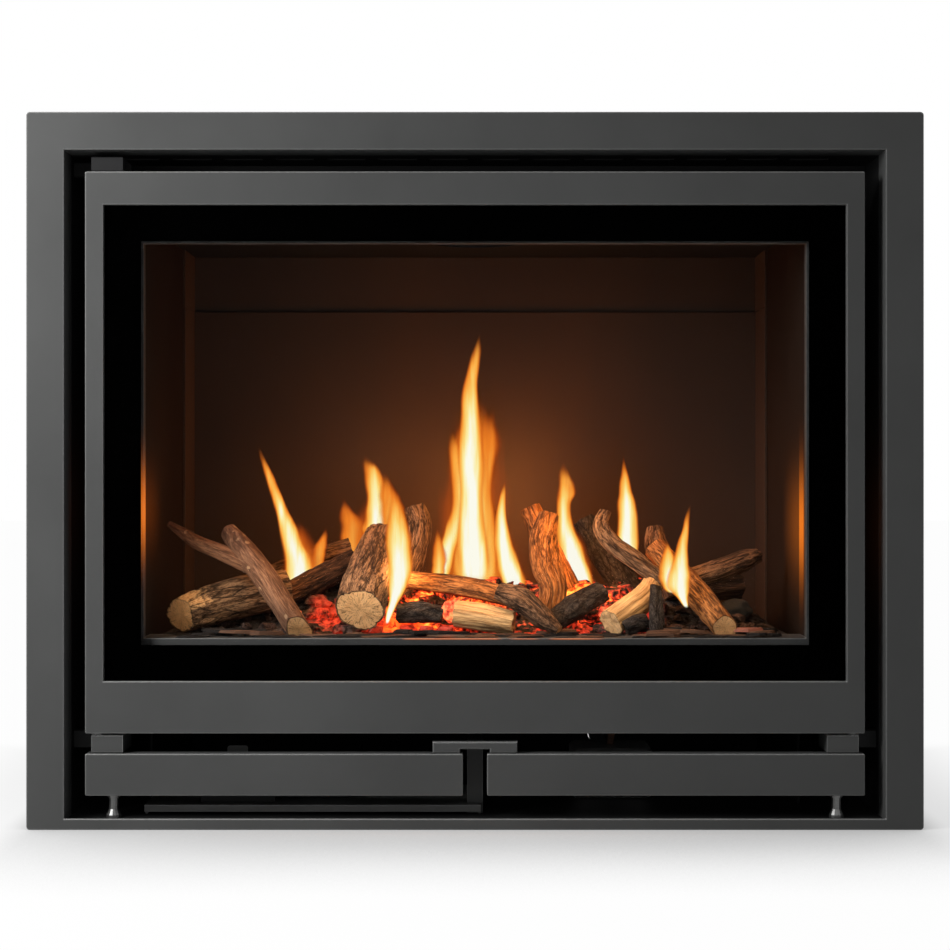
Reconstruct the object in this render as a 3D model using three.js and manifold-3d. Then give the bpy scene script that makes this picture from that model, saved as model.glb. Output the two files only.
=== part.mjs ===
// Inset gas fire: a steel casing with a folded surround, a hinged glass door over a lined firebox,
// two narrow lower flaps with the controls behind them, and a ceramic log set on an ember bed.
// Millimetres, +Z up. X runs across the fire and Y into the wall, measured from the surround's face.

import * as THREE from 'three';
import { mergeVertices } from 'three/addons/utils/BufferGeometryUtils.js';
import Module from 'manifold-3d';

const wasm = await Module();
wasm.setup();

// Clearances: touching pieces, pins in their holes, and how far a cut runs past the piece it cuts.
const touch_gap = 0.3;
const running_gap = 0.3;
const overrun = 6;

// Surround: three wide bars and a thin strip at the foot, with returns folded back.
const surround_width = 780;
const surround_height = 624;
const surround_bar = 33;
const surround_foot_bar = 9.6;
const surround_depth = 33;
const surround_wall = 3;
const surround_corner_radius = 3;
const edge_bevel = 0.8;

// Casing: folded sheet panels behind the surround.
const casing_wall = 2;
const casing_rear = 398;
const casing_flange = 18;
const casing_top_flange = 12;
const base_height = 8;
const base_foot_width = 24;
const vent_slot_length = 34;
const vent_slot_width = 8;
const vent_slot_pitch = 46;
const vent_slot_inset = 18;
const bulkhead_front = 93;
const bulkhead_foot_rise = 1;

// Firebox: liner panels on a floor with skirts, closed by a front plate and a ceiling. Its sides
// stand in from the door's, and its ceiling and opening lie below the door's top.
const fire_side_inset = 45;
const fire_height = 372;
const liner_wall = 2;
const liner_rear_gap = 33;
const liner_flange = 72;
const liner_seam_drop = 58;
const liner_seam_gap = 0.8;
const liner_step = 3;
const liner_slot_height = 86;
const liner_slot_width = 3;
const floor_drop = 14.4;
const floor_wall = 2;
const ceiling_drop = 37;
const front_plate_gap = 1;
const front_plate_wall = 2;
const front_plate_margin = 4;
const front_plate_side_margin = 18;
const front_opening_inset = 3;
const front_opening_drop = 60.4;
const front_return_depth = 8;
const sill_rise = 81.4;
const sill_depth = 51;

// Door: folded steel frame with a pane, a rope gasket and two retainers behind it.
const door_side_gap = 17;
const door_bottom = 83;
const door_head_gap = 18;
const door_front = 6;
const door_depth = 19;
const door_side_bar = 16;
const door_top_bar = 29;
const door_bottom_bar = 45.5;
const door_face_wall = 3;
const door_wall = 2;
const door_lip_depth = 5;
const door_corner_radius = 1.5;
const glass_overlap = 8;
const glass_thickness = 4;
const gasket_inset = 12;
const gasket_corner_radius = 24;
const retainer_wall = 1.5;
const retainer_end_gap = 24;
const retainer_grip = 11;
const retainer_leg = 12;

// Hinge lines: the door's runs in its side bar and the flaps' further in, with the pins on them.
const door_pin_inset = 9;
const door_pin_setback = 8;
const hinge_line_inset = 23;
const hinge_line_setback = 12;
const pin_radius = 4;
const pin_engagement = 8;
const pin_boss_radius = 5;
const lug_radius = 9;

// Brackets that carry the pins, fixed to the casing's sides and set out from the hinge line.
const bracket_outer_reach = 18;
const bracket_inner_reach = 9.5;
const bracket_front_reach = 9;
const bracket_step_reach = 24;
const bracket_rear_reach = 36;
const bracket_clearance = 1.5;
const upper_bracket_height = 13;

// Flaps: folded channels that close the lower gap.
const flap_bottom = 28.7;
const flap_head_gap = 17.7;
const flap_front = 6;
const flap_depth = 16;
const flap_wall = 2;
const flap_middle_gap = 21;

// Pivot studs under the flaps.
const stud_foot_radius = 6.5;
const stud_foot_height = 2.5;
const stud_stem_radius = 4.2;
const stud_neck_radius = 5.5;

// Catch bracket over the gap between the flaps, on its post.
const catch_width = 74;
const catch_leg_width = 24;
const catch_clearance = 7.4;
const catch_bridge = 6.6;
const catch_depth = 12;
const catch_front = 8;
const catch_tongue_width = 13;
const post_width = 14;
const post_front = 40;
const post_depth = 26;
const post_wall = 2;

// Controls on a low shelf behind the left flap.
const tray_side_gap = 3;
const tray_right = 5;
const tray_front = 30;
const tray_rear = 150;
const tray_top = 17;
const tray_lip = 6;
const tray_wall = 2;
const receiver_width = 120;
const receiver_depth = 74;
const receiver_height = 28;
const receiver_inset = 60;
const receiver_front = 64;
const receiver_corner_radius = 6;
const receiver_edge_bevel = 2;
const lever_inset = 81;
const lever_width = 18;
const lever_head_gap = 15.2;
const lever_bottom = 41;
const lever_wall = 2;
const lever_pin_radius = 2.7;
const lever_pin_height = 49;
const lever_head_radius = 5;
const lever_travel = 12;
const guide_width = 66;
const guide_top = 59;
const guide_front = 44;
const guide_wall = 2;
const guide_foot = 14;

// Gas valve behind the right flap, with its knob and pipes.
const knob_across = 127.5;
const valve_width = 75;
const valve_front = 122;
const valve_depth = 68;
const valve_height = 46;
const valve_edge_bevel = 3;
const valve_neck_radius = 11;
const valve_neck_length = 5;
const knob_height = 34;
const knob_radius = 14;
const knob_length = 19;
const knob_wall = 3;
const knob_rib_count = 14;
const knob_rib_radius = 1.4;
const spindle_radius = 3;
const spindle_length = 14;
const inlet_pipe_radius = 7.5;
const inlet_nut_radius = 13;
const inlet_nut_length = 14;
const inlet_hole_gap = 0.5;
const feed_pipe_radius = 4;
const feed_rise = 30;
const feed_sweep_height = 112;
const feed_across = 0;
const feed_depth = 200;

// Burner tray, ember bed and pilot.
const burner_side_gap = 8;
const burner_rear_gap = 32;
const burner_height = 11.5;
const burner_wall = 1.5;
const bed_crest = 38;
const bed_lump = 3.2;
const bed_columns = 24;
const bed_rows = 11;
const pilot_across = -24;
const pilot_gap = 8;
const pilot_width = 34;
const pilot_plate = 2;
const pilot_post_height = 34;
const pilot_hood_radius = 5;
const pilot_hood_height = 16;
const pilot_rod_radius = 1.6;
const pilot_rod_height = 60;

// Flue collars on the casing's top.
const flue_depth = 226;
const flue_inner_radius = 50;
const flue_outer_radius = 75;
const flue_wall = 2;
const flue_rise = 49;
const flue_inner_drop = 5;
const flue_flange = 14;
const flue_bead = 2;
const flue_bead_height = 10;

// Ceramic logs: the thickest radius, and how finely each limb is faceted.
const log_radius = 23;
const log_sides = 12;
const log_rings = 9;

// Places that follow from the sizes above.
const opening_half = surround_width / 2 - surround_bar;
const opening_top = surround_height - surround_bar;
const casing_half = opening_half + casing_wall;
const casing_front = surround_depth + touch_gap;
const casing_back_front = casing_rear + touch_gap;
const overall_depth = casing_back_front + casing_wall;
const door_half = opening_half - door_side_gap;
const door_top = opening_top - door_head_gap;
const door_back = door_front + door_depth;
const window_half = door_half - door_side_bar;
const window_bottom = door_bottom + door_bottom_bar;
const window_top = door_top - door_top_bar;
const glass_front = door_front + door_lip_depth + touch_gap;
const glass_back = glass_front + glass_thickness;
const retainer_half = window_half - retainer_end_gap;
const fire_half = door_half - fire_side_inset;
const liner_half = fire_half + liner_wall;
const liner_rear = casing_rear - liner_rear_gap;
const front_half = fire_half - front_opening_inset;
const front_opening_top = door_top - front_opening_drop;
const front_plate_front = door_back + front_plate_gap;
const front_plate_back = front_plate_front + front_plate_wall;
const fire_front = front_plate_back + touch_gap;
const fire_depth = liner_rear - fire_front;
const sill_top = door_bottom + sill_rise;
const sill_back = front_plate_front + sill_depth;
const floor_top = sill_top - floor_drop;
const ceiling_bottom = door_top - ceiling_drop;
const liner_seam_height = ceiling_bottom - liner_seam_drop;
const bulkhead_foot = door_bottom + bulkhead_foot_rise;
const door_pin_across = door_half - door_pin_inset;
const door_pin_depth = door_front + door_pin_setback;
const hinge_line_across = door_half - hinge_line_inset;
const hinge_line_depth = door_front + hinge_line_setback;
const hole_radius = pin_radius + running_gap;
const flap_top = door_bottom - flap_head_gap;
const bracket_bottom = flap_top + touch_gap;
const bracket_top = door_bottom - bracket_clearance;
const catch_top = door_bottom - catch_clearance;
const tray_left = tray_side_gap - fire_half;
const receiver_left = tray_left + receiver_inset;
const lever_across = tray_left + lever_inset;
const lever_top = door_bottom - lever_head_gap;
const lever_back = guide_front - touch_gap;
const valve_left = knob_across - valve_width / 2;
const tray_floor = floor_top + touch_gap;
const burner_half = fire_half - burner_side_gap;
const burner_front = sill_back + 2 * touch_gap;
const burner_rear = liner_rear - burner_rear_gap;
const bed_bottom = tray_floor + burner_wall + touch_gap;
const flue_top = opening_top + flue_rise;

// Directions and the three planes in which outlines are drawn.
const across_axis = new THREE.Vector3(1, 0, 0);
const depth_axis = new THREE.Vector3(0, 1, 0);
const up_axis = new THREE.Vector3(0, 0, 1);
const drawing_planes = {
  plan: new THREE.Matrix4(),
  front: new THREE.Matrix4().makeBasis(across_axis, up_axis, depth_axis.clone().negate()),
  side: new THREE.Matrix4().makeBasis(depth_axis, up_axis, across_axis),
};

// Solids: a closed geometry becomes a solid that can be joined and cut.
function solid_of(geometry) {
  const bare = geometry.clone();
  bare.deleteAttribute('normal');
  bare.deleteAttribute('uv');
  const merged = mergeVertices(bare);
  return new wasm.Manifold(new wasm.Mesh({
    numProp: 3,
    vertProperties: new Float32Array(merged.attributes.position.array),
    triVerts: new Uint32Array(merged.index.array),
  }));
}

function join(first, ...others) {
  return others.reduce((whole, other) => whole.add(other), first);
}

function cut(first, ...others) {
  return others.reduce((rest, other) => rest.subtract(other), first);
}

// Where cutting leaves slivers, the largest body is the piece.
function largest_body(solid) {
  const bodies = solid.decompose();
  bodies.sort((one, other) => other.volume() - one.volume());
  return bodies[0];
}

function geometry_of(solid) {
  const mesh = solid.getMesh();
  const geometry = new THREE.BufferGeometry();
  geometry.setAttribute('position', new THREE.BufferAttribute(mesh.vertProperties, 3));
  geometry.setIndex(new THREE.BufferAttribute(mesh.triVerts, 1));
  geometry.computeVertexNormals();
  return geometry;
}

// Outlines and extrusions. A front outline is seen from the room, a side one from the right.
function outline(points) {
  return new THREE.Shape(points.map(([first, second]) => new THREE.Vector2(first, second)));
}

function rounded_rectangle(left, right, bottom, top, radius) {
  const shape = new THREE.Shape();
  shape.moveTo(left + radius, bottom);
  shape.lineTo(right - radius, bottom);
  shape.absarc(right - radius, bottom + radius, radius, -Math.PI / 2, 0);
  shape.lineTo(right, top - radius);
  shape.absarc(right - radius, top - radius, radius, 0, Math.PI / 2);
  shape.lineTo(left + radius, top);
  shape.absarc(left + radius, top - radius, radius, Math.PI / 2, Math.PI);
  shape.lineTo(left, bottom + radius);
  shape.absarc(left + radius, bottom + radius, radius, Math.PI, 1.5 * Math.PI);
  return shape;
}

function rectangle(left, right, bottom, top) {
  return outline([[left, bottom], [right, bottom], [right, top], [left, top]]);
}

function extrude(shape, plane, from, to, bevel = 0, steps = 2) {
  const geometry = new THREE.ExtrudeGeometry(shape, {
    depth: to - from - 2 * bevel,
    bevelEnabled: bevel > 0,
    bevelThickness: bevel,
    bevelSize: bevel,
    bevelOffset: -bevel,
    bevelSegments: steps,
    curveSegments: 3,
  });
  geometry.translate(0, 0, plane === 'front' ? bevel - to : from + bevel);
  geometry.applyMatrix4(drawing_planes[plane]);
  return solid_of(geometry);
}

function block(left, right, front, back, bottom, top) {
  return extrude(rectangle(left, right, bottom, top), 'front', front, back);
}

// A folded sheet: an open path along one face, thickened to its left with mitred corners.
function folded_sheet(path, wall) {
  const side = path.map(([first, second], index) => {
    const here = new THREE.Vector2(first, second);
    const before = index > 0 ? new THREE.Vector2(...path[index - 1]) : null;
    const after = index < path.length - 1 ? new THREE.Vector2(...path[index + 1]) : null;
    const inward = before ? here.clone().sub(before).normalize() : after.clone().sub(here).normalize();
    const outward = after ? after.clone().sub(here).normalize() : inward;
    const mitre = new THREE.Vector2(-inward.y - outward.y, inward.x + outward.x);
    return here.addScaledVector(mitre, wall / (1 + inward.dot(outward))).toArray();
  });
  return outline([...path, ...side.reverse()]);
}

// Round pieces: a pin between two points on one axis, and a turned piece from its profile.
function pin(radius, axis, place, from, to, sides = 16) {
  const geometry = new THREE.CylinderGeometry(radius, radius, to - from, sides);
  geometry.translate(0, (from + to) / 2, 0);
  const turn = new THREE.Quaternion().setFromUnitVectors(depth_axis, axis);
  geometry.applyQuaternion(turn);
  geometry.translate(...place);
  return solid_of(geometry);
}

function turned(profile, across, depth, sides = 32) {
  const points = profile.map(([radius, height]) => new THREE.Vector2(radius, height));
  const geometry = new THREE.LatheGeometry(points, sides);
  geometry.rotateX(Math.PI / 2);
  geometry.translate(across, depth, 0);
  return solid_of(geometry);
}

// The object's group is shifted so that its origin lies under the middle of the whole fire.
const fireplace = new THREE.Group();
fireplace.name = 'gas_fireplace';
fireplace.position.set(0, -overall_depth / 2, 0);

function finish(color, roughness, metalness) {
  return new THREE.MeshStandardMaterial({ color, roughness, metalness });
}

const anthracite = finish(0x4c4d4c, 0.48, 0.35);
const black_paint = finish(0x161616, 0.6, 0.3);
const liner_paint = finish(0x3a322c, 0.8, 0.1);
const pane_glass = finish(0x0a0a0a, 0.05, 0);
const plated_steel = finish(0xa7a7a2, 0.35, 0.9);
const rope_fibre = finish(0x2a2927, 0.95, 0);
const control_plastic = finish(0x202123, 0.5, 0);
const valve_alloy = finish(0x9a9b98, 0.5, 0.7);
const copper_pipe = finish(0xb0713f, 0.4, 0.9);
const galvanised = finish(0x8e918f, 0.5, 0.8);
const ember_ceramic = finish(0x3d2a20, 0.95, 0);
const bark_ceramic = finish(0x6b4a30, 0.9, 0);
const pale_ceramic = finish(0xb58c5c, 0.9, 0);
const char_ceramic = finish(0x2b2624, 0.95, 0);

function add_piece(name, solid, material) {
  const mesh = new THREE.Mesh(geometry_of(solid), material);
  mesh.name = name;
  fireplace.add(mesh);
}

// Surround: a block with softened edges, opened in the middle and hollowed from behind.
function surround_frame() {
  const half = surround_width / 2;
  const face = rounded_rectangle(-half, half, 0, surround_height, surround_corner_radius);
  const opening = rectangle(-opening_half, opening_half, surround_foot_bar, opening_top);
  face.holes.push(opening);
  const whole = extrude(face, 'front', 0, surround_depth, edge_bevel);
  const hollow = outline([
    [-half + surround_wall, 0 - overrun],
    [half - surround_wall, 0 - overrun],
    [half - surround_wall, surround_height - surround_wall],
    [-half + surround_wall, surround_height - surround_wall],
  ]);
  hollow.holes.push(rectangle(
    -opening_half - surround_wall,
    opening_half + surround_wall,
    0 - overrun / 2,
    opening_top + surround_wall,
  ));
  const cavity = extrude(hollow, 'front', surround_wall, surround_depth + overrun);
  const foot = block(
    -opening_half, opening_half, surround_wall, surround_depth + overrun, 0 - overrun, surround_foot_bar,
  );
  return cut(whole, cavity, foot);
}

// Casing sides: a wall down to the hearth with a flange turned in behind.
function casing_side(side) {
  const path = [
    [side * casing_half, casing_front],
    [side * casing_half, casing_rear],
    [side * (casing_half - casing_flange), casing_rear],
  ];
  if (side < 0) {
    path.reverse();
  }
  return extrude(folded_sheet(path, casing_wall), 'plan', 0, opening_top - touch_gap);
}

// Casing top: a plate with upturned flanges, an opening for the flue and a row of vent slots.
function casing_top() {
  const plate = opening_top;
  const path = [
    [casing_front, plate + casing_top_flange],
    [casing_front, plate],
    [overall_depth, plate],
    [overall_depth, plate + casing_top_flange],
  ];
  const sheet = extrude(folded_sheet(path, casing_wall), 'side', -casing_half, casing_half);
  const flue_hole = pin(
    flue_outer_radius - flue_wall, up_axis, [0, flue_depth, 0],
    plate - overrun, plate + overrun, 32,
  );
  const slot_count = Math.floor((2 * opening_half - vent_slot_pitch) / vent_slot_pitch);
  const slots = [];
  for (let index = 0; index < slot_count; index += 1) {
    const middle = (index - (slot_count - 1) / 2) * vent_slot_pitch;
    const slot = rectangle(
      middle - vent_slot_length / 2,
      middle + vent_slot_length / 2,
      casing_front + vent_slot_inset,
      casing_front + vent_slot_inset + vent_slot_width,
    );
    slots.push(extrude(slot, 'plan', plate - overrun, plate + overrun));
  }
  return cut(sheet, flue_hole, ...slots);
}

// Casing base: a plate raised on two flat feet that run from front to back.
function casing_base() {
  const half = opening_half - touch_gap;
  const path = [
    [-half + base_foot_width, 0],
    [-half, 0],
    [-half, base_height],
    [half, base_height],
    [half, 0],
    [half - base_foot_width, 0],
  ];
  const sheet = folded_sheet(path.reverse(), casing_wall);
  return extrude(sheet, 'front', surround_wall + touch_gap, casing_rear - casing_wall - touch_gap);
}

function casing_back() {
  const plate = extrude(
    rounded_rectangle(-casing_half, casing_half, 0, opening_top - touch_gap, surround_corner_radius),
    'front', casing_back_front, overall_depth,
  );
  const inlet_hole = pin(
    inlet_pipe_radius + inlet_hole_gap, depth_axis, [knob_across, 0, knob_height],
    casing_rear - overrun, overall_depth + overrun,
  );
  return cut(plate, inlet_hole);
}

// Bulkhead: closes the recess between the casing and the firebox.
function bulkhead() {
  const half = opening_half - touch_gap;
  const top = opening_top - touch_gap;
  const inner_half = liner_half + touch_gap;
  const inner_top = ceiling_bottom + liner_wall + touch_gap;
  const shape = outline([
    [-half, bulkhead_foot],
    [-inner_half, bulkhead_foot],
    [-inner_half, inner_top],
    [inner_half, inner_top],
    [inner_half, bulkhead_foot],
    [half, bulkhead_foot],
    [half, top],
    [-half, top],
  ]);
  return extrude(shape, 'front', bulkhead_front, bulkhead_front + casing_wall);
}

add_piece('surround_frame', surround_frame(), anthracite);
add_piece('casing_left', casing_side(-1), black_paint);
add_piece('casing_right', casing_side(1), black_paint);
add_piece('casing_top', casing_top(), black_paint);
add_piece('casing_base', casing_base(), black_paint);
add_piece('casing_back', casing_back(), black_paint);
add_piece('bulkhead', bulkhead(), black_paint);

// Firebox front: a plate with its opening's edges folded back and a deep sill. Its sides end
// short of the door's, so that the door's edge has room to swing back past them.
function firebox_front() {
  const half = door_half - front_plate_side_margin;
  const face = rectangle(-half, half, door_bottom + front_plate_margin, door_top - front_plate_margin);
  face.holes.push(rectangle(-front_half, front_half, sill_top, front_opening_top));
  const plate = extrude(face, 'front', front_plate_front, front_plate_back);
  const jamb_bottom = sill_top - front_plate_wall;
  const collar = rectangle(
    -front_half - front_plate_wall,
    front_half + front_plate_wall,
    jamb_bottom,
    front_opening_top + front_plate_wall,
  );
  collar.holes.push(rectangle(-front_half, front_half, sill_top, front_opening_top));
  const returns = extrude(collar, 'front', front_plate_front, front_plate_back + front_return_depth);
  const sill = block(
    -front_half - front_plate_wall, front_half + front_plate_wall,
    front_plate_front, front_plate_front + sill_depth, jamb_bottom, sill_top,
  );
  return join(plate, returns, sill);
}

// Firebox floor: a plate with skirts down to the base, holed for the feed pipe.
function firebox_floor() {
  const skirt_foot = base_height + touch_gap;
  const path = [
    [liner_half, skirt_foot],
    [liner_half, floor_top],
    [-liner_half, floor_top],
    [-liner_half, skirt_foot],
  ];
  const skirts = extrude(
    folded_sheet(path, floor_wall), 'front', bulkhead_front + casing_wall + touch_gap,
    liner_rear + liner_step,
  );
  const apron = block(
    -liner_half, liner_half, fire_front, bulkhead_front + casing_wall + overrun,
    floor_top - floor_wall, floor_top,
  );
  const hole = pin(
    feed_pipe_radius + running_gap, up_axis, [feed_across, feed_depth, 0],
    floor_top - overrun, floor_top + overrun,
  );
  return cut(join(skirts, apron), hole);
}

// Back liners: wide trays whose flanges lie inside the side liners.
function liner_back(rear, bottom, top) {
  const half = fire_half - touch_gap;
  const path = [
    [half, liner_rear - liner_flange],
    [half, rear],
    [-half, rear],
    [-half, liner_rear - liner_flange],
  ];
  return extrude(folded_sheet(path, liner_wall), 'plan', bottom, top);
}

// Side liners: flat walls with one upright slot near the back flange.
function liner_side(side) {
  const inner = side * fire_half;
  const outer = side * liner_half;
  const wall = block(
    Math.min(inner, outer), Math.max(inner, outer), fire_front, liner_rear + liner_step,
    floor_top + touch_gap, ceiling_bottom - touch_gap,
  );
  const slot_rear = liner_rear - liner_flange - liner_slot_width;
  const slot = block(
    Math.min(inner, outer) - overrun, Math.max(inner, outer) + overrun,
    slot_rear - liner_slot_width, slot_rear,
    sill_top + liner_slot_height, sill_top + 2 * liner_slot_height,
  );
  return cut(wall, slot);
}

function firebox_ceiling() {
  const plate = block(
    -liner_half, liner_half, fire_front, liner_rear + liner_step,
    ceiling_bottom, ceiling_bottom + liner_wall,
  );
  const hole = pin(
    flue_inner_radius - flue_wall, up_axis, [0, flue_depth, 0],
    ceiling_bottom - overrun, ceiling_bottom + overrun, 32,
  );
  return cut(plate, hole);
}

const liner_foot = floor_top + touch_gap;
const liner_head = ceiling_bottom - touch_gap;
const seam_top = liner_seam_height + liner_seam_gap;
add_piece('firebox_front', firebox_front(), black_paint);
add_piece('firebox_floor', firebox_floor(), black_paint);
add_piece('liner_back_lower', liner_back(liner_rear, liner_foot, liner_seam_height), liner_paint);
add_piece('liner_back_upper', liner_back(liner_rear + liner_step, seam_top, liner_head), liner_paint);
add_piece('liner_left', liner_side(-1), liner_paint);
add_piece('liner_right', liner_side(1), liner_paint);
add_piece('firebox_ceiling', firebox_ceiling(), black_paint);

// Door frame: bars folded from sheet, with a lip round the window and pin holes at the left.
function door_frame() {
  const face = rounded_rectangle(-door_half, door_half, door_bottom, door_top, door_corner_radius);
  face.holes.push(rectangle(-window_half, window_half, window_bottom, window_top));
  const whole = extrude(face, 'front', door_front, door_back, edge_bevel);
  const inside = [
    -door_half + door_wall, door_half - door_wall, door_bottom + door_wall, door_top - door_wall,
  ];
  const rear = extrude(rectangle(...inside), 'front', door_front + door_lip_depth, door_back + overrun);
  const channel = rectangle(...inside);
  channel.holes.push(rectangle(
    -window_half - door_wall,
    window_half + door_wall,
    window_bottom - door_wall,
    window_top + door_wall,
  ));
  const hollow = extrude(
    channel, 'front', door_front + door_face_wall, door_front + door_lip_depth + overrun,
  );
  const place = [-door_pin_across, door_pin_depth, 0];
  const lower_hole = pin(hole_radius, up_axis, place, door_bottom - overrun, door_bottom + overrun);
  const upper_hole = pin(hole_radius, up_axis, place, door_top - overrun, door_top + overrun);
  return cut(whole, rear, hollow, lower_hole, upper_hole);
}

function door_glass() {
  const pane = rounded_rectangle(
    -window_half - glass_overlap,
    window_half + glass_overlap,
    window_bottom - glass_overlap,
    window_top + glass_overlap,
    door_corner_radius,
  );
  return extrude(pane, 'front', glass_front, glass_back);
}

// Rope gasket: fills the space between the pane and the firebox front.
function door_gasket() {
  const from = glass_back + touch_gap;
  const to = front_plate_front - touch_gap;
  const radius = (to - from) / 2;
  const half = window_half - gasket_inset + radius;
  const bottom = window_bottom + gasket_inset - radius;
  const top = window_top - gasket_inset + radius;
  const rope = rounded_rectangle(-half, half, bottom, top, gasket_corner_radius);
  rope.holes.push(rounded_rectangle(
    -half + 2 * radius, half - 2 * radius, bottom + 2 * radius, top - 2 * radius,
    gasket_corner_radius - 2 * radius,
  ));
  return extrude(rope, 'front', from, to, radius * 0.6, 1);
}

// Retainers: cranked strips screwed behind the door's bars that press on the pane's edge.
function glass_retainer(side) {
  const edge = side > 0 ? window_top + glass_overlap : window_bottom - glass_overlap;
  const web = edge + side * touch_gap;
  const behind_face = door_front + door_face_wall + touch_gap;
  const behind_pane = glass_back + touch_gap;
  const path = [
    [behind_face, web + side * retainer_leg],
    [behind_face, web],
    [behind_pane, web],
    [behind_pane, edge - side * retainer_grip],
  ];
  if (side < 0) {
    path.reverse();
  }
  const sheet = folded_sheet(path, retainer_wall);
  return extrude(sheet, 'side', -retainer_half, retainer_half);
}

add_piece('door_frame', door_frame(), anthracite);
add_piece('door_glass', door_glass(), pane_glass);
add_piece('door_gasket', door_gasket(), rope_fibre);
add_piece('glass_retainer_top', glass_retainer(1), plated_steel);
add_piece('glass_retainer_bottom', glass_retainer(-1), plated_steel);

// Brackets: an angle in plan from the casing's side to the hinge line, with pins up and down.
function bracket_body(side, bottom, top) {
  const wall = opening_half - touch_gap;
  const outer = hinge_line_across + bracket_outer_reach;
  const inner = hinge_line_across - bracket_inner_reach;
  const front = hinge_line_depth - bracket_front_reach;
  const step = hinge_line_depth + bracket_step_reach;
  const rear = hinge_line_depth + bracket_rear_reach;
  const plan = [
    [outer, front],
    [inner, front],
    [inner, rear],
    [wall, rear],
    [wall, step],
    [outer, step],
  ].map(([across, depth]) => [side * across, depth]);
  if (side > 0) {
    plan.reverse();
  }
  return extrude(outline(plan), 'plan', bottom, top, edge_bevel, 1);
}

function hinge_bracket(side) {
  const flap_place = [side * hinge_line_across, hinge_line_depth, 0];
  const door_place = [side * door_pin_across, door_pin_depth, 0];
  const body = bracket_body(side, bracket_bottom, bracket_top);
  const boss = pin(pin_boss_radius, up_axis, door_place, bracket_top - overrun, door_bottom - touch_gap);
  const flap_pin = pin(
    pin_radius, up_axis, flap_place, flap_top - pin_engagement, bracket_bottom + overrun,
  );
  if (side > 0) {
    return join(body, boss, flap_pin);
  }
  const door_pin = pin(pin_radius, up_axis, door_place, bracket_top, door_bottom + pin_engagement);
  return join(body, boss, flap_pin, door_pin);
}

function hinge_bracket_upper() {
  const place = [-door_pin_across, door_pin_depth, 0];
  const bottom = door_top + touch_gap;
  const body = bracket_body(-1, bottom, bottom + upper_bracket_height);
  const door_pin = pin(pin_radius, up_axis, place, door_top - pin_engagement, bottom + overrun);
  return join(body, door_pin);
}

add_piece('hinge_bracket_left', hinge_bracket(-1), black_paint);
add_piece('hinge_bracket_right', hinge_bracket(1), black_paint);
add_piece('hinge_bracket_upper', hinge_bracket_upper(), black_paint);

// Flaps: a channel with closed ends, and a lug with a pin hole on each flange.
function flap(side) {
  const inner = flap_middle_gap / 2;
  const [from, to] = side < 0 ? [-door_half, -inner] : [inner, door_half];
  const back = flap_front + flap_depth;
  const whole = extrude(
    rounded_rectangle(from, to, flap_bottom, flap_top, door_corner_radius),
    'front', flap_front, back, edge_bevel,
  );
  const hollow = block(
    from + flap_wall, to - flap_wall, flap_front + flap_wall, back + overrun,
    flap_bottom + flap_wall, flap_top - flap_wall,
  );
  const place = [side * hinge_line_across, hinge_line_depth, 0];
  const lower_lug = pin(lug_radius, up_axis, place, flap_bottom, flap_bottom + flap_wall, 24);
  const upper_lug = pin(lug_radius, up_axis, place, flap_top - flap_wall, flap_top, 24);
  const hole = pin(hole_radius, up_axis, place, flap_bottom - overrun, flap_top + overrun);
  return cut(join(cut(whole, hollow), lower_lug, upper_lug), hole);
}

// Pivot studs: a flared foot, a stem and the pin that enters the flap's lower flange.
function flap_pivot(side) {
  const foot = base_height + touch_gap;
  const shoulder = flap_bottom - touch_gap;
  const profile = [
    [0, foot],
    [stud_foot_radius, foot],
    [stud_foot_radius, foot + stud_foot_height],
    [stud_stem_radius, foot + 3 * stud_foot_height],
    [stud_stem_radius, shoulder - stud_foot_height],
    [stud_neck_radius, shoulder - stud_foot_height],
    [stud_neck_radius, shoulder],
    [pin_radius, shoulder],
    [pin_radius, shoulder + pin_engagement],
    [0, shoulder + pin_engagement],
  ];
  return turned(profile, side * hinge_line_across, hinge_line_depth, 14);
}

add_piece('flap_left', flap(-1), anthracite);
add_piece('flap_right', flap(1), anthracite);
add_piece('flap_pivot_left', flap_pivot(-1), black_paint);
add_piece('flap_pivot_right', flap_pivot(1), black_paint);

// Catch bracket: an upturned U over the flaps' inner ends with a tongue back to its post.
function catch_bracket() {
  const half = catch_width / 2;
  const leg = half - catch_leg_width;
  const foot = flap_top + touch_gap;
  const bridge = catch_top - catch_bridge;
  const face = outline([
    [-half, foot],
    [-leg, foot],
    [-leg, bridge],
    [leg, bridge],
    [leg, foot],
    [half, foot],
    [half, catch_top],
    [-half, catch_top],
  ]);
  const front = extrude(face, 'front', catch_front, catch_front + catch_depth, edge_bevel, 1);
  const tongue = block(
    -catch_tongue_width / 2, catch_tongue_width / 2,
    catch_front + catch_depth / 2, post_front + post_depth, bridge, catch_top - edge_bevel,
  );
  return join(front, tongue);
}

function centre_post() {
  const half = post_width / 2;
  const back = post_front + post_depth;
  const path = [
    [half, back],
    [-half, back],
    [-half, post_front],
    [half, post_front],
  ];
  const top = catch_top - catch_bridge - touch_gap;
  return extrude(folded_sheet(path, post_wall), 'plan', base_height + touch_gap, top);
}

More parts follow.
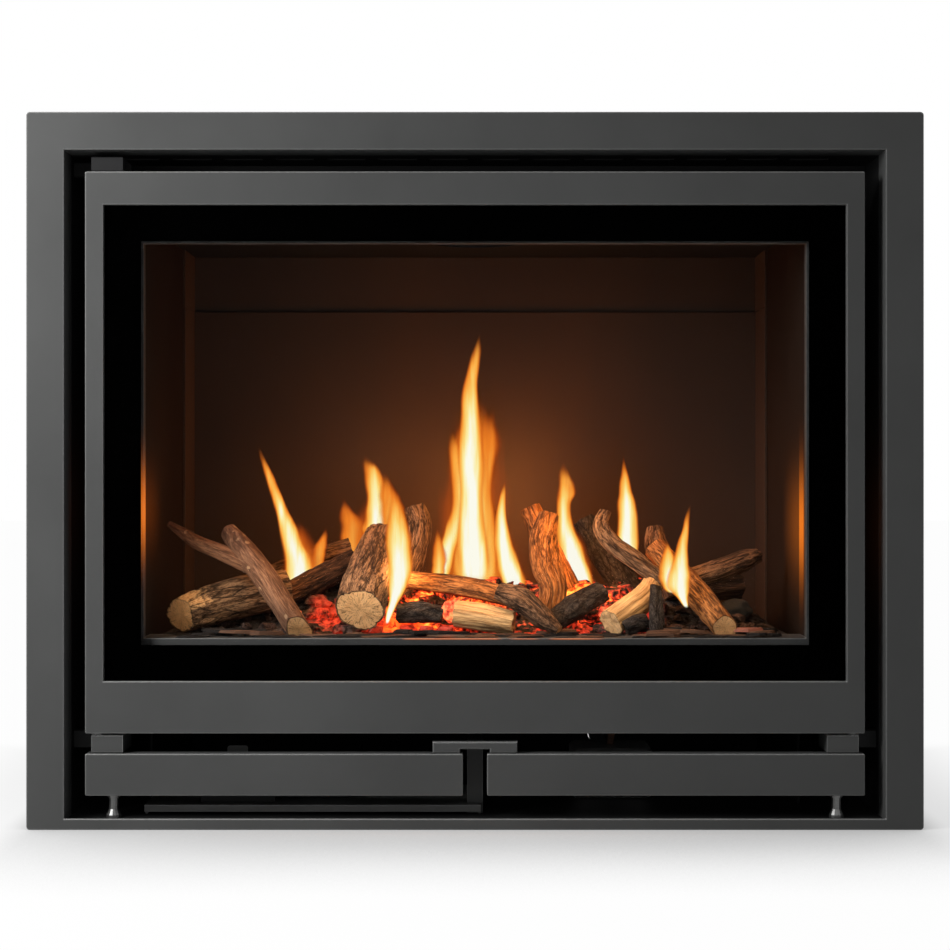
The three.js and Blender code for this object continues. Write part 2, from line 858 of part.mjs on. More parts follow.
// Control tray: a shelf with a lip turned down in front and legs at its back and ends.
function control_tray() {
  const foot = base_height + touch_gap;
  const path = [
    [tray_front, tray_top - tray_lip],
    [tray_front, tray_top],
    [tray_rear, tray_top],
    [tray_rear, foot],
  ];
  const shelf = extrude(folded_sheet(path.reverse(), tray_wall), 'side', tray_left, tray_right);
  const left_leg = block(
    tray_left, tray_left + tray_wall, tray_front + tray_lip, tray_rear, foot, tray_top,
  );
  const right_leg = block(
    tray_right - tray_wall, tray_right, tray_front + tray_lip, post_front - touch_gap, foot, tray_top,
  );
  const post_notch = block(
    -post_width / 2 - touch_gap, tray_right + overrun, post_front - touch_gap,
    post_front + post_depth + touch_gap, 0, tray_top + overrun,
  );
  return cut(join(shelf, left_leg, right_leg), post_notch);
}

function control_receiver() {
  const bottom = tray_top + touch_gap;
  const plan = rounded_rectangle(
    receiver_left, receiver_left + receiver_width,
    receiver_front, receiver_front + receiver_depth, receiver_corner_radius,
  );
  return extrude(plan, 'plan', bottom, bottom + receiver_height, receiver_edge_bevel);
}

// Lever and guide: a tab whose pin runs in a slot of an upright angle on the tray.
function control_guide() {
  const left = lever_across - guide_width / 2;
  const right = lever_across + guide_width / 2;
  const foot = tray_top + touch_gap;
  const path = [
    [guide_front, guide_top],
    [guide_front, foot],
    [guide_front + guide_foot, foot],
  ];
  const angle = extrude(folded_sheet(path, guide_wall), 'side', left, right);
  const reach = lever_travel + lever_pin_radius + running_gap;
  const rise = lever_pin_radius + running_gap;
  const slot = rounded_rectangle(
    lever_across - reach, lever_across + reach,
    lever_pin_height - rise, lever_pin_height + rise, rise * 0.99,
  );
  return cut(angle, extrude(slot, 'front', guide_front - overrun, guide_front + guide_wall + overrun));
}

function control_lever() {
  const tab = extrude(
    rounded_rectangle(
      lever_across - lever_width / 2, lever_across + lever_width / 2,
      lever_bottom, lever_top, lever_wall,
    ),
    'front', lever_back - lever_wall, lever_back,
  );
  const head_front = guide_front + guide_wall + touch_gap;
  const place = [lever_across, 0, lever_pin_height];
  const stem = pin(lever_pin_radius, depth_axis, place, lever_back - lever_wall / 2, head_front);
  const head = pin(lever_head_radius, depth_axis, place, head_front, head_front + lever_wall);
  return join(tab, stem, head);
}

add_piece('catch_bracket', catch_bracket(), black_paint);
add_piece('centre_post', centre_post(), black_paint);
add_piece('control_tray', control_tray(), black_paint);
add_piece('control_receiver', control_receiver(), control_plastic);
add_piece('control_guide', control_guide(), galvanised);
add_piece('control_lever', control_lever(), black_paint);

// Gas valve: a cast block with a neck in front that carries the knob's spindle.
function gas_valve() {
  const bottom = base_height + touch_gap;
  const body = extrude(
    rounded_rectangle(
      valve_left, valve_left + valve_width, valve_front, valve_front + valve_depth, 2 * valve_edge_bevel,
    ),
    'plan', bottom, bottom + valve_height, valve_edge_bevel, 1,
  );
  const place = [knob_across, 0, knob_height];
  const neck_front = valve_front - valve_neck_length;
  const neck = pin(valve_neck_radius, depth_axis, place, neck_front, valve_front + overrun);
  const spindle = pin(
    spindle_radius, depth_axis, place, neck_front - spindle_length, neck_front + overrun,
  );
  return join(body, neck, spindle);
}

function valve_knob() {
  const back = valve_front - valve_neck_length - touch_gap;
  const front = back - knob_length;
  const place = [knob_across, 0, knob_height];
  const grip = pin(knob_radius, depth_axis, place, front, back, 28);
  const ribs = [];
  for (let index = 0; index < knob_rib_count; index += 1) {
    const angle = (2 * Math.PI * index) / knob_rib_count;
    const rib_place = [
      knob_across + knob_radius * Math.cos(angle), 0, knob_height + knob_radius * Math.sin(angle),
    ];
    ribs.push(pin(knob_rib_radius, depth_axis, rib_place, front + knob_wall, back - knob_wall, 8));
  }
  const bore = pin(
    spindle_radius + running_gap, depth_axis, place,
    valve_front - valve_neck_length - spindle_length - touch_gap, back + overrun,
  );
  return cut(join(grip, ...ribs), bore);
}

function gas_inlet_pipe() {
  const front = valve_front + valve_depth + touch_gap;
  const place = [knob_across, 0, knob_height];
  const pipe = pin(inlet_pipe_radius, depth_axis, place, front, overall_depth);
  const nut = pin(inlet_nut_radius, depth_axis, place, front, front + inlet_nut_length, 6);
  return join(pipe, nut);
}

// Feed pipe: rises from the valve, crosses under the floor and ends below the burner tray.
function burner_feed_pipe() {
  const start = base_height + touch_gap + valve_height + touch_gap;
  const valve_middle = valve_front + valve_depth / 2;
  const end = floor_top;
  const route = new THREE.CatmullRomCurve3([
    new THREE.Vector3(knob_across, valve_middle, start),
    new THREE.Vector3(knob_across, valve_middle, start + feed_rise),
    new THREE.Vector3(knob_across * 0.7, (valve_middle + feed_depth) / 2, feed_sweep_height),
    new THREE.Vector3(knob_across * 0.25, feed_depth, feed_sweep_height),
    new THREE.Vector3(feed_across, feed_depth, end - feed_rise / 2),
    new THREE.Vector3(feed_across, feed_depth, end),
  ]);
  const section = new THREE.Shape();
  section.absarc(0, 0, feed_pipe_radius, 0, 2 * Math.PI);
  const geometry = new THREE.ExtrudeGeometry(section, {
    steps: 24, bevelEnabled: false, curveSegments: 4, extrudePath: route,
  });
  return solid_of(geometry);
}

add_piece('gas_valve', gas_valve(), valve_alloy);
add_piece('valve_knob', valve_knob(), control_plastic);
add_piece('gas_inlet_pipe', gas_inlet_pipe(), galvanised);
add_piece('burner_feed_pipe', burner_feed_pipe(), copper_pipe);

// Burner tray: an open pan on the firebox floor.
function burner_tray() {
  const pan = block(
    -burner_half, burner_half, burner_front, burner_rear, tray_floor, tray_floor + burner_height,
  );
  const inside = block(
    -burner_half + burner_wall, burner_half - burner_wall,
    burner_front + burner_wall, burner_rear - burner_wall,
    tray_floor + burner_wall, tray_floor + burner_height + overrun,
  );
  return cut(pan, inside);
}

// Pilot: a foot plate, a post with its hood, and two rods beside the hood.
function pilot_burner() {
  const depth = burner_rear + pilot_gap;
  const foot = floor_top + touch_gap;
  const plate = block(
    pilot_across - pilot_width / 2, pilot_across + pilot_width / 2,
    depth - pilot_gap + touch_gap, depth + pilot_gap, foot, foot + pilot_plate,
  );
  const post = pin(pilot_rod_radius * 2, up_axis, [pilot_across, depth, 0], foot, foot + pilot_post_height);
  const hood = pin(
    pilot_hood_radius, up_axis, [pilot_across, depth, 0],
    foot + pilot_post_height - pilot_plate, foot + pilot_post_height + pilot_hood_height, 12,
  );
  const rods = [-1, 1].map((side) => pin(
    pilot_rod_radius, up_axis, [pilot_across + (side * pilot_width) / 3, depth, 0],
    foot, foot + pilot_rod_height, 8,
  ));
  return join(plate, post, hood, ...rods);
}

add_piece('burner_tray', burner_tray(), black_paint);
add_piece('pilot_burner', pilot_burner(), plated_steel);

// Flue collars: turned rings with a flange at the foot and a rolled bead near the top.
function flue_collar(radius, foot, top) {
  const inner = radius - flue_wall;
  const bead = top - flue_bead_height;
  const profile = [
    [inner, foot],
    [radius + flue_flange, foot],
    [radius + flue_flange, foot + flue_wall],
    [radius, foot + flue_wall],
    [radius, bead - flue_bead],
    [radius + flue_bead, bead],
    [radius, bead + flue_bead],
    [radius, top],
    [inner, top],
    [inner, foot],
  ];
  return turned(profile, 0, flue_depth, 28);
}

const casing_roof = opening_top + casing_wall + touch_gap;
const ceiling_roof = ceiling_bottom + liner_wall + touch_gap;
add_piece('flue_collar_outer', flue_collar(flue_outer_radius, casing_roof, flue_top), galvanised);
add_piece(
  'flue_collar_inner', flue_collar(flue_inner_radius, ceiling_roof, flue_top - flue_inner_drop), galvanised,
);

// Ceramic logs. Places are shares of half the fire's width, of its depth and of its height above
// the sill, and radii are shares of the thickest log. A flat side makes a split face.
const log_table = [
  {
    name: 'branch_left_fork', material: bark_ceramic, seed: 1, bark_share: 0.06,
    limbs: [
      {
        place_shares: [
          [-0.534, 0.078, 0.015], [-0.652, 0.119, 0.15], [-0.724, 0.161, 0.215], [-0.763, 0.197, 0.25],
        ],
        radius_shares: [0.45, 0.5, 0.47, 0.34],
      },
      {
        place_shares: [
          [-0.66, 0.13, 0.158], [-0.779, 0.155, 0.198], [-0.855, 0.167, 0.222], [-0.902, 0.173, 0.246],
          [-0.947, 0.185, 0.268],
        ],
        radius_shares: [0.35, 0.32, 0.28, 0.22, 0.12],
      },
    ],
  },
  {
    name: 'log_centre_left_big', material: bark_ceramic, seed: 2, bark_share: 0.05,
    limbs: [{
      place_shares: [
        [-0.353, 0.131, 0.06], [-0.339, 0.209, 0.105], [-0.314, 0.328, 0.169], [-0.294, 0.433, 0.222],
      ],
      radius_shares: [0.98, 1, 0.94, 0.83],
    }],
  },
  {
    name: 'log_right_front', material: bark_ceramic, seed: 3, bark_share: 0.07,
    limbs: [{
      place_shares: [
        [0.759, 0.078, 0.018], [0.7, 0.143, 0.081], [0.638, 0.221, 0.139], [0.569, 0.304, 0.203],
      ],
      radius_shares: [0.47, 0.53, 0.52, 0.45],
    }],
  },
  {
    name: 'log_right_light', material: pale_ceramic, seed: 4, bark_share: 0.05,
    limbs: [{
      place_shares: [
        [0.415, 0.107, 0.03], [0.471, 0.149, 0.059], [0.528, 0.203, 0.09], [0.568, 0.269, 0.132],
      ],
      radius_shares: [0.55, 0.57, 0.52, 0.4],
    }],
  },
  {
    name: 'wedge_right_dark', material: char_ceramic, seed: 5, bark_share: 0.1, flat_share: 0.5,
    limbs: [{
      place_shares: [[0.549, 0.088, -0.004], [0.548, 0.1, 0.06], [0.548, 0.125, 0.118]],
      radius_shares: [0.38, 0.36, 0.24],
    }],
  },
  {
    name: 'log_centre_split', material: pale_ceramic, seed: 6, bark_share: 0.05, flat_share: 0.55,
    limbs: [{
      place_shares: [[-0.059, 0.179, 0.048], [0.028, 0.161, 0.039], [0.12, 0.143, 0.028]],
      radius_shares: [0.54, 0.56, 0.45],
    }],
  },
  {
    name: 'log_centre_fork', material: bark_ceramic, seed: 7, bark_share: 0.1,
    limbs: [{
      place_shares: [
        [0.071, 0.149, 0.103], [0.144, 0.125, 0.08], [0.204, 0.096, 0.043], [0.255, 0.072, 0.013],
      ],
      radius_shares: [0.35, 0.53, 0.43, 0.19],
    }],
  },
  {
    name: 'log_centre_long', material: bark_ceramic, seed: 8, bark_share: 0.08, flat_share: 0.7,
    limbs: [{
      place_shares: [
        [-0.242, 0.275, 0.124], [-0.109, 0.245, 0.115], [0.016, 0.215, 0.1], [0.139, 0.185, 0.076],
      ],
      radius_shares: [0.4, 0.46, 0.46, 0.42],
    }],
  },
  {
    name: 'log_centre_right_upright', material: bark_ceramic, seed: 9, bark_share: 0.06,
    limbs: [{
      place_shares: [
        [0.233, 0.358, 0.287], [0.216, 0.334, 0.224], [0.224, 0.304, 0.163], [0.245, 0.269, 0.102],
        [0.219, 0.239, 0.012],
      ],
      radius_shares: [0.45, 0.57, 0.61, 0.56, 0.48],
    }],
  },
  {
    name: 'log_left_front', material: bark_ceramic, seed: 10, bark_share: 0.06,
    limbs: [{
      place_shares: [
        [-0.905, 0.155, 0.044], [-0.836, 0.185, 0.064], [-0.733, 0.233, 0.086], [-0.599, 0.293, 0.101],
      ],
      radius_shares: [0.69, 0.79, 0.84, 0.81],
    }],
  },
  {
    name: 'branch_right_hook', material: bark_ceramic, seed: 11, bark_share: 0.08,
    limbs: [{
      place_shares: [
        [0.413, 0.293, 0.298], [0.397, 0.287, 0.261], [0.431, 0.275, 0.219], [0.504, 0.251, 0.175],
        [0.588, 0.225, 0.124],
      ],
      radius_shares: [0.24, 0.36, 0.38, 0.38, 0.32],
    }],
  },
  {
    name: 'log_centre_left_curved', material: bark_ceramic, seed: 12, bark_share: 0.06,
    limbs: [{
      place_shares: [
        [-0.199, 0.478, 0.306], [-0.182, 0.472, 0.259], [-0.197, 0.436, 0.181], [-0.228, 0.388, 0.108],
        [-0.246, 0.358, 0.072],
      ],
      radius_shares: [0.46, 0.54, 0.54, 0.49, 0.45],
    }],
  },
  {
    name: 'log_right_split', material: bark_ceramic, seed: 13, bark_share: 0.1, flat_share: 0.6,
    limbs: [{
      place_shares: [
        [0.655, 0.262, 0.125], [0.76, 0.3, 0.145], [0.86, 0.335, 0.173], [0.904, 0.35, 0.183],
      ],
      radius_shares: [0.38, 0.49, 0.45, 0.29],
    }],
  },
  {
    name: 'log_charcoal_front', material: char_ceramic, seed: 14, bark_share: 0.1,
    limbs: [{
      place_shares: [[0.232, 0.173, 0.024], [0.31, 0.203, 0.06], [0.397, 0.245, 0.098]],
      radius_shares: [0.42, 0.52, 0.44],
    }],
  },
  {
    name: 'log_left_charred', material: char_ceramic, seed: 15, bark_share: 0.1,
    limbs: [{
      place_shares: [[-0.625, 0.328, 0.074], [-0.51, 0.358, 0.118], [-0.382, 0.388, 0.172]],
      radius_shares: [0.49, 0.53, 0.49],
    }],
  },
  {
    name: 'log_left_back', material: char_ceramic, seed: 16, bark_share: 0.08,
    limbs: [{
      place_shares: [[-0.699, 0.522, 0.105], [-0.575, 0.537, 0.15], [-0.405, 0.552, 0.19]],
      radius_shares: [0.52, 0.57, 0.53],
    }],
  },
  {
    name: 'log_centre_right_back', material: bark_ceramic, seed: 17, bark_share: 0.07,
    limbs: [{
      place_shares: [
        [0.18, 0.507, 0.303], [0.212, 0.496, 0.246], [0.263, 0.466, 0.164], [0.307, 0.436, 0.088],
      ],
      radius_shares: [0.42, 0.5, 0.5, 0.5],
    }],
  },
  {
    name: 'log_right_dark', material: char_ceramic, seed: 18, bark_share: 0.07,
    limbs: [{
      place_shares: [
        [0.362, 0.597, 0.27], [0.414, 0.579, 0.197], [0.484, 0.549, 0.114], [0.541, 0.519, 0.058],
      ],
      radius_shares: [0.51, 0.59, 0.63, 0.59],
    }],
  },
  {
    name: 'log_right_knot', material: bark_ceramic, seed: 19, bark_share: 0.1,
    limbs: [{
      place_shares: [
        [0.58, 0.418, 0.255], [0.582, 0.406, 0.21], [0.606, 0.388, 0.152], [0.642, 0.364, 0.082],
      ],
      radius_shares: [0.33, 0.49, 0.58, 0.53],
    }],
  },
];

// The value at a place along an evenly spaced list of shares.
function share_along(shares, along) {
  const place = along * (shares.length - 1);
  const step = Math.min(Math.floor(place), shares.length - 2);
  return THREE.MathUtils.lerp(shares[step], shares[step + 1], place - step);
}

// One limb: a cylinder bent along its curve, swollen and ridged like bark. With a margin it is
// the space that its neighbours leave free. A flat as far out as the uncut share takes nothing off.
const uncut_share = 2;

function limb_solid(log, limb, margin) {
  const curve = new THREE.CatmullRomCurve3(limb.place_shares.map(([across, depth, up]) => (
    new THREE.Vector3(across * fire_half, fire_front + depth * fire_depth, sill_top + up * fire_height)
  )));
  const geometry = new THREE.CylinderGeometry(1, 1, 1, log_sides, log_rings);
  const places = geometry.attributes.position;
  for (let index = 0; index < places.count; index += 1) {
    const angle = Math.atan2(places.getZ(index), places.getX(index));
    const rim = Math.hypot(places.getX(index), places.getZ(index));
    const along = places.getY(index) + 0.5;
    const middle = curve.getPoint(along);
    const forward = curve.getTangent(along);
    const side = forward.clone().cross(depth_axis).normalize();
    const over = side.clone().cross(forward);
    const ridge = 0.6 * Math.sin(3 * angle + log.seed) + 0.4 * Math.sin(5 * angle + 7 * along + 2 * log.seed);
    const swell = share_along(limb.radius_shares, along) * (1 + log.bark_share * ridge);
    const flat = (log.flat_share ?? uncut_share) * share_along(limb.radius_shares, along);
    const limit = flat / Math.max(Math.sin(angle - log.seed), flat / uncut_share);
    const radius = rim * (Math.min(swell, limit) * log_radius + margin);
    const overshoot = along < 0.001 ? -margin : (along > 0.999 ? margin : 0);
    middle.addScaledVector(side, radius * Math.cos(angle));
    middle.addScaledVector(over, radius * Math.sin(angle));
    middle.addScaledVector(forward, overshoot);
    places.setXYZ(index, middle.x, middle.y, middle.z);
  }
  return solid_of(geometry);
}

function log_solid(log, margin) {
  return join(...log.limbs.map((limb) => limb_solid(log, limb, margin)));
}

// Each log is flat where it meets the sill and notched where it lies on the logs before it.
const below_sill = block(
  -fire_half, fire_half, fire_front, liner_rear, floor_top, sill_top + touch_gap,
);
const log_spaces = [];
log_table.forEach((log) => {
  const piece = largest_body(cut(log_solid(log, 0), below_sill, ...log_spaces));
  add_piece(log.name, piece, log.material);
  log_spaces.push(log_solid(log, touch_gap));
});

// Ember bed: a moulded slab that rises to a crest behind the front logs, seated round each log.
function ember_bed() {
  const half = burner_half - burner_wall - touch_gap;
  const front = burner_front + burner_wall + touch_gap;
  const back = burner_rear - burner_wall - touch_gap;
  const thickness = sill_top - bed_bottom;
  const geometry = new THREE.BoxGeometry(2 * half, back - front, thickness, bed_columns, bed_rows, 1);
  geometry.translate(0, (front + back) / 2, bed_bottom + thickness / 2);
  const places = geometry.attributes.position;
  for (let index = 0; index < places.count; index += 1) {
    if (places.getZ(index) > bed_bottom + thickness / 2) {
      const across_share = places.getX(index) / half;
      const depth_share = (places.getY(index) - front) / (back - front);
      const mound = THREE.MathUtils.smoothstep(depth_share, 0.02, 0.42) * (1 - 0.5 * depth_share ** 3);
      const fade = 1 - across_share ** 6;
      const lump = Math.sin(31 * across_share + 5 * depth_share) * Math.cos(19 * depth_share + 3 * across_share);
      places.setZ(index, sill_top + fade * (bed_crest * mound + bed_lump * lump * Math.min(1, 6 * depth_share)));
    }
  }
  return largest_body(cut(solid_of(geometry), ...log_spaces));
}

add_piece('ember_bed', ember_bed(), ember_ceramic);

export default fireplace;
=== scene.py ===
import math
import random

import bmesh
import bpy
from mathutils import Matrix, Vector, noise


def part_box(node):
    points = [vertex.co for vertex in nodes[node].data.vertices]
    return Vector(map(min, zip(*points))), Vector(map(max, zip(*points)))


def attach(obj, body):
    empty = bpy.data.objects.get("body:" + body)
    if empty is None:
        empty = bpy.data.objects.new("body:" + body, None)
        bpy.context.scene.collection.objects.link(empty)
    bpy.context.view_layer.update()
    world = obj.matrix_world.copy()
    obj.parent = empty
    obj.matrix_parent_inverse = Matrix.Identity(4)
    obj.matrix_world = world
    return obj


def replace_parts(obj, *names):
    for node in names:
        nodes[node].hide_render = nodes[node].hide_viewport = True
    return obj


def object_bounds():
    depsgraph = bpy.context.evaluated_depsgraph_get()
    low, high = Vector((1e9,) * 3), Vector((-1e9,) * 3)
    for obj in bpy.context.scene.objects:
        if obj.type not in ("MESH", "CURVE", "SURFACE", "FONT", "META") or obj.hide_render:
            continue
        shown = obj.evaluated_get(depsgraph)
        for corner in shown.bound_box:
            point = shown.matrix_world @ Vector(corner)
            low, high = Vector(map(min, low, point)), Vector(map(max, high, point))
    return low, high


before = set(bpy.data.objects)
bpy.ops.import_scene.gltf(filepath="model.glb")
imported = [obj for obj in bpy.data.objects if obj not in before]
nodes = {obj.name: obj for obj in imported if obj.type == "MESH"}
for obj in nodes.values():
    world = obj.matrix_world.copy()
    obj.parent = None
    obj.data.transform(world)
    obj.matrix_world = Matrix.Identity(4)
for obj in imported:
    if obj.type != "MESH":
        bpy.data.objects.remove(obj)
cad_box = [list(corner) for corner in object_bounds()]
front = -0.20015


# --- Camera ---
# The fire is seen square on from 1.8 m, at the height of the middle of the picture. The value
# named front, above, is where the surround's face stands.

def put(name, data):
    """Puts new data into the scene as an object."""
    made = bpy.data.objects.new(name, data)
    bpy.context.scene.collection.objects.link(made)
    return made


camera_distance = 1.8
camera_height = 0.3084
camera_data = bpy.data.cameras.new("camera")
camera_data.lens = 78.52
camera_data.sensor_width = 36
camera = put("camera", camera_data)
camera.location = (0.0, front - camera_distance, camera_height)
camera.rotation_euler = (math.pi / 2, 0, 0)
bpy.context.scene.camera = camera
bpy.context.scene.view_settings.view_transform = "Standard"


# --- Surround ---
# The frame that shows on the wall: folded steel sheet with softened edges and a satin powder coat.
# The coat has a fine orange-peel texture and faint cloudy variation, and a painted highlight along
# its edges, brightest on those that face up.

class Value:
    """A socket of a node tree. A sum or product of values adds the Math node that works it out."""

    def __init__(self, owner, socket):
        self.owner = owner
        self.socket = socket

    def math(self, operation, *values):
        return self.owner.node("ShaderNodeMath", {"operation": operation}, dict(enumerate(values)))

    def __add__(self, other):
        return self.math("ADD", self, other)

    def __radd__(self, other):
        return self.math("ADD", other, self)

    def __sub__(self, other):
        return self.math("SUBTRACT", self, other)

    def __rsub__(self, other):
        return self.math("SUBTRACT", other, self)

    def __mul__(self, other):
        return self.math("MULTIPLY", self, other)

    def __rmul__(self, other):
        return self.math("MULTIPLY", other, self)

    def __truediv__(self, other):
        return self.math("DIVIDE", self, other)

    def __pow__(self, other):
        return self.math("POWER", self, other)

    def most(self, other):
        return self.math("MAXIMUM", self, other)

    def sine(self):
        return self.math("SINE", self)

    def size(self):
        return self.math("ABSOLUTE", self)

    def axis(self, name):
        """One part of this vector: X, Y or Z."""
        return self.owner.node("ShaderNodeSeparateXYZ", None, {0: self}, output=name)

    def stretched(self, scale):
        return self.owner.node("ShaderNodeMapping", None, {"Vector": self, "Scale": scale})

    def hump(self, middle, spread):
        """A bell curve of this value: one at the middle, fading over the spread on both sides."""
        away = ((self - middle) / spread) ** 2
        return self.math("EXPONENT", -0.5 * away)

    def within(self, low, high, to_low=0.0, to_high=1.0):
        """This value, taken from the range low to high onto another range, smoothly."""
        return self.owner.node("ShaderNodeMapRange", {"interpolation_type": "SMOOTHSTEP"}, {
            "Value": self, "From Min": low, "From Max": high, "To Min": to_low, "To Max": to_high,
        })


class Nodes:
    """A node tree, with the one way that nodes are added to it."""

    def __init__(self, tree):
        self.tree = tree

    def node(self, kind, settings=None, inputs=None, output=0):
        made = self.tree.nodes.new(kind)
        for setting, value in (settings or {}).items():
            if setting == "stops":
                ramp = made.color_ramp
                while len(ramp.elements) < len(value):
                    ramp.elements.new(0.5)
                for stop, (place, colour) in zip(ramp.elements, value):
                    stop.position = place
                    stop.color = (*colour, 1)
            else:
                setattr(made, setting, value)
        for socket, value in (inputs or {}).items():
            self.fill(made.inputs[socket], value)
        return Value(self, made.outputs[output])

    def fill(self, socket, value):
        """Links a value to a socket, or sets a constant on it."""
        if isinstance(value, Value):
            self.tree.links.new(value.socket, socket)
        else:
            socket.default_value = value


class Finish(Nodes):
    """A material: the nodes behind a Principled shader."""

    def __init__(self, name, **sockets):
        self.material = bpy.data.materials.new(name)
        self.material.use_nodes = True
        super().__init__(self.material.node_tree)
        self.shader = self.tree.nodes["Principled BSDF"]
        for socket, value in sockets.items():
            self.feed(socket.replace("_", " "), value)

    def feed(self, socket, value):
        """Gives the shader a value or a constant. A constant colour is a tuple of three."""
        self.fill(self.shader.inputs[socket], (*value, 1) if isinstance(value, tuple) else value)

    def here(self):
        """Object coordinates, in metres."""
        return self.node("ShaderNodeTexCoord", output="Object")

    def place(self, scale=(1, 1, 1)):
        return self.here().stretched(scale)

    def attribute(self, name, output):
        return self.node("ShaderNodeAttribute", {"attribute_name": name}, output=output)

    def speckle(self, where, scale, detail=3.0, roughness=0.5, distortion=0.0, output=0):
        return self.node("ShaderNodeTexNoise", None, {
            "Vector": where, "Scale": scale, "Detail": detail, "Roughness": roughness,
            "Distortion": distortion,
        }, output)

    def cells(self, where, scale, feature, output):
        inputs = {"Vector": where, "Scale": scale}
        return self.node("ShaderNodeTexVoronoi", {"feature": feature}, inputs, output)

    def ramp(self, value, *stops):
        return self.node("ShaderNodeValToRGB", {"stops": stops}, {"Fac": value})

    def blend(self, share, first, second):
        first, second = (
            (*each, 1) if isinstance(each, tuple) else each for each in (first, second)
        )
        inputs = {0: share, 6: first, 7: second}
        return self.node("ShaderNodeMix", {"data_type": "RGBA"}, inputs, output=2)

    def bump(self, height, distance):
        inputs = {"Height": height, "Distance": distance}
        self.feed("Normal", self.node("ShaderNodeBump", None, inputs))


def dress(finish, *names):
    for name in names:
        for slot in nodes[name].material_slots:
            slot.material = finish.material


def shade(colour, share):
    return tuple(min(share * part, 1) for part in colour)


# The radius and pale grey of the painted edge highlight.
highlight_radius = 0.0011
highlight_grey = (0.5, 0.5, 0.49)
# The black of the painted shade beyond a bracket's arm.
shade_black = (0.003, 0.003, 0.003)


def sheet_paint(
    name, colour, roughness, specular, grain=900, cloud=9, depth=0.00004, edge_highlight=0.0, shade_beyond=0.0,
):
    """A sprayed coat: cloudy, with a fine grain, a painted highlight along its edges and painted
    black shade beyond a distance across.
    """
    paint = Finish(name, Specular_IOR_Level=specular)
    clouds = paint.speckle(paint.place(), cloud, 4)
    fine = paint.speckle(paint.place(), grain, 2)
    coat = paint.ramp(clouds, (0.3, shade(colour, 0.9)), (0.7, shade(colour, 1.1)))
    # Painted highlight: pale grey along rounded edges, strongest where they face up, as if lit from
    # above.
    if edge_highlight:
        rounded = paint.node("ShaderNodeBevel", {"samples": 4}, {"Radius": highlight_radius})
        face = paint.node("ShaderNodeNewGeometry", output="Normal")
        turned = paint.node(
            "ShaderNodeVectorMath", {"operation": "DISTANCE"}, {0: rounded, 1: face}, "Value",
        )
        rubs_and_edge_highlight = turned.within(0.06, 0.4) * rounded.axis("Z").within(-0.1, 0.5, 0.25, 1.0)
        coat = paint.blend(edge_highlight * rubs_and_edge_highlight, coat, highlight_grey)
    # Painted shade: beyond this distance across from the middle, the coat turns black.
    if shade_beyond:
        painted_shade_mask = paint.here().axis("X").size().within(shade_beyond, shade_beyond + 0.0005)
        coat = paint.blend(painted_shade_mask, coat, shade_black)
    paint.feed("Base Color", coat)
    paint.feed("Roughness", roughness - 0.06 + 0.08 * clouds + 0.04 * fine)
    paint.bump(fine, depth)
    return paint


def powder(name, shade_beyond=0.0):
    """The dark powder coat of everything that shows on the wall, with painted edge highlights."""
    return sheet_paint(name, (0.063, 0.064, 0.063), 0.46, 0.15, edge_highlight=0.9, shade_beyond=shade_beyond)


powder_coat = powder("anthracite powder coat")
dress(powder_coat, "surround_frame")


# --- Casing ---
# The box in the wall: bent sheet panels in matt black heat resistant paint, and a bulkhead that
# closes the space round the firebox. Galvanised collars on top take the flue, the inner one dark
# with soot, and pan head screws hold the back and the outer collar.

stove_black = sheet_paint("matt black paint", (0.0075, 0.0075, 0.0078), 0.62, 0.16, 700, 14)
dress(
    stove_black, "casing_left", "casing_right", "casing_top", "casing_base", "casing_back",
    "bulkhead", "firebox_floor", "firebox_ceiling", "hinge_bracket_upper", "burner_tray",
    "control_guide",
)

zinc = Finish("galvanised sheet", Metallic=0.9, Specular_IOR_Level=0.4)
spangle = zinc.cells(zinc.place(), 110.0, "F1", "Color")
tone = zinc.node("ShaderNodeSeparateColor", None, {0: spangle})
zinc.feed("Base Color", zinc.ramp(tone, (0.1, (0.36, 0.37, 0.37)), (0.9, (0.52, 0.53, 0.53))))
zinc.feed("Roughness", 0.34 + 0.14 * tone)
zinc.bump(zinc.speckle(zinc.place(), 300), 0.00003)
dress(zinc, "gas_inlet_pipe")


def grained(name, scale, detail, dark, light, rough=(), relief=0.0, stretch=(1, 1, 1), **sockets):
    """A finish with one grain, which moves its colour and, if asked, its roughness and relief."""
    made = Finish(name, **sockets)
    grain = made.speckle(made.place(stretch), scale, detail)
    made.feed("Base Color", made.ramp(grain, dark, light))
    if rough:
        made.feed("Roughness", rough[0] + rough[1] * grain)
    if relief:
        made.bump(grain, relief)
    return made


def piece(name, shape, finish, body="casing", smooth=True, extra=()):
    """Makes a bmesh into a finished piece that rides on a body."""
    bmesh.ops.recalc_face_normals(shape, faces=shape.faces[:])
    mesh = bpy.data.meshes.new(name)
    shape.to_mesh(mesh)
    shape.free()
    for face in mesh.polygons:
        face.use_smooth = smooth
    for look in (finish, *extra):
        mesh.materials.append(look.material)
    made = put(name, mesh)
    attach(made, body)
    return made


def corners(name):
    return [Vector(corner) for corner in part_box(name)]


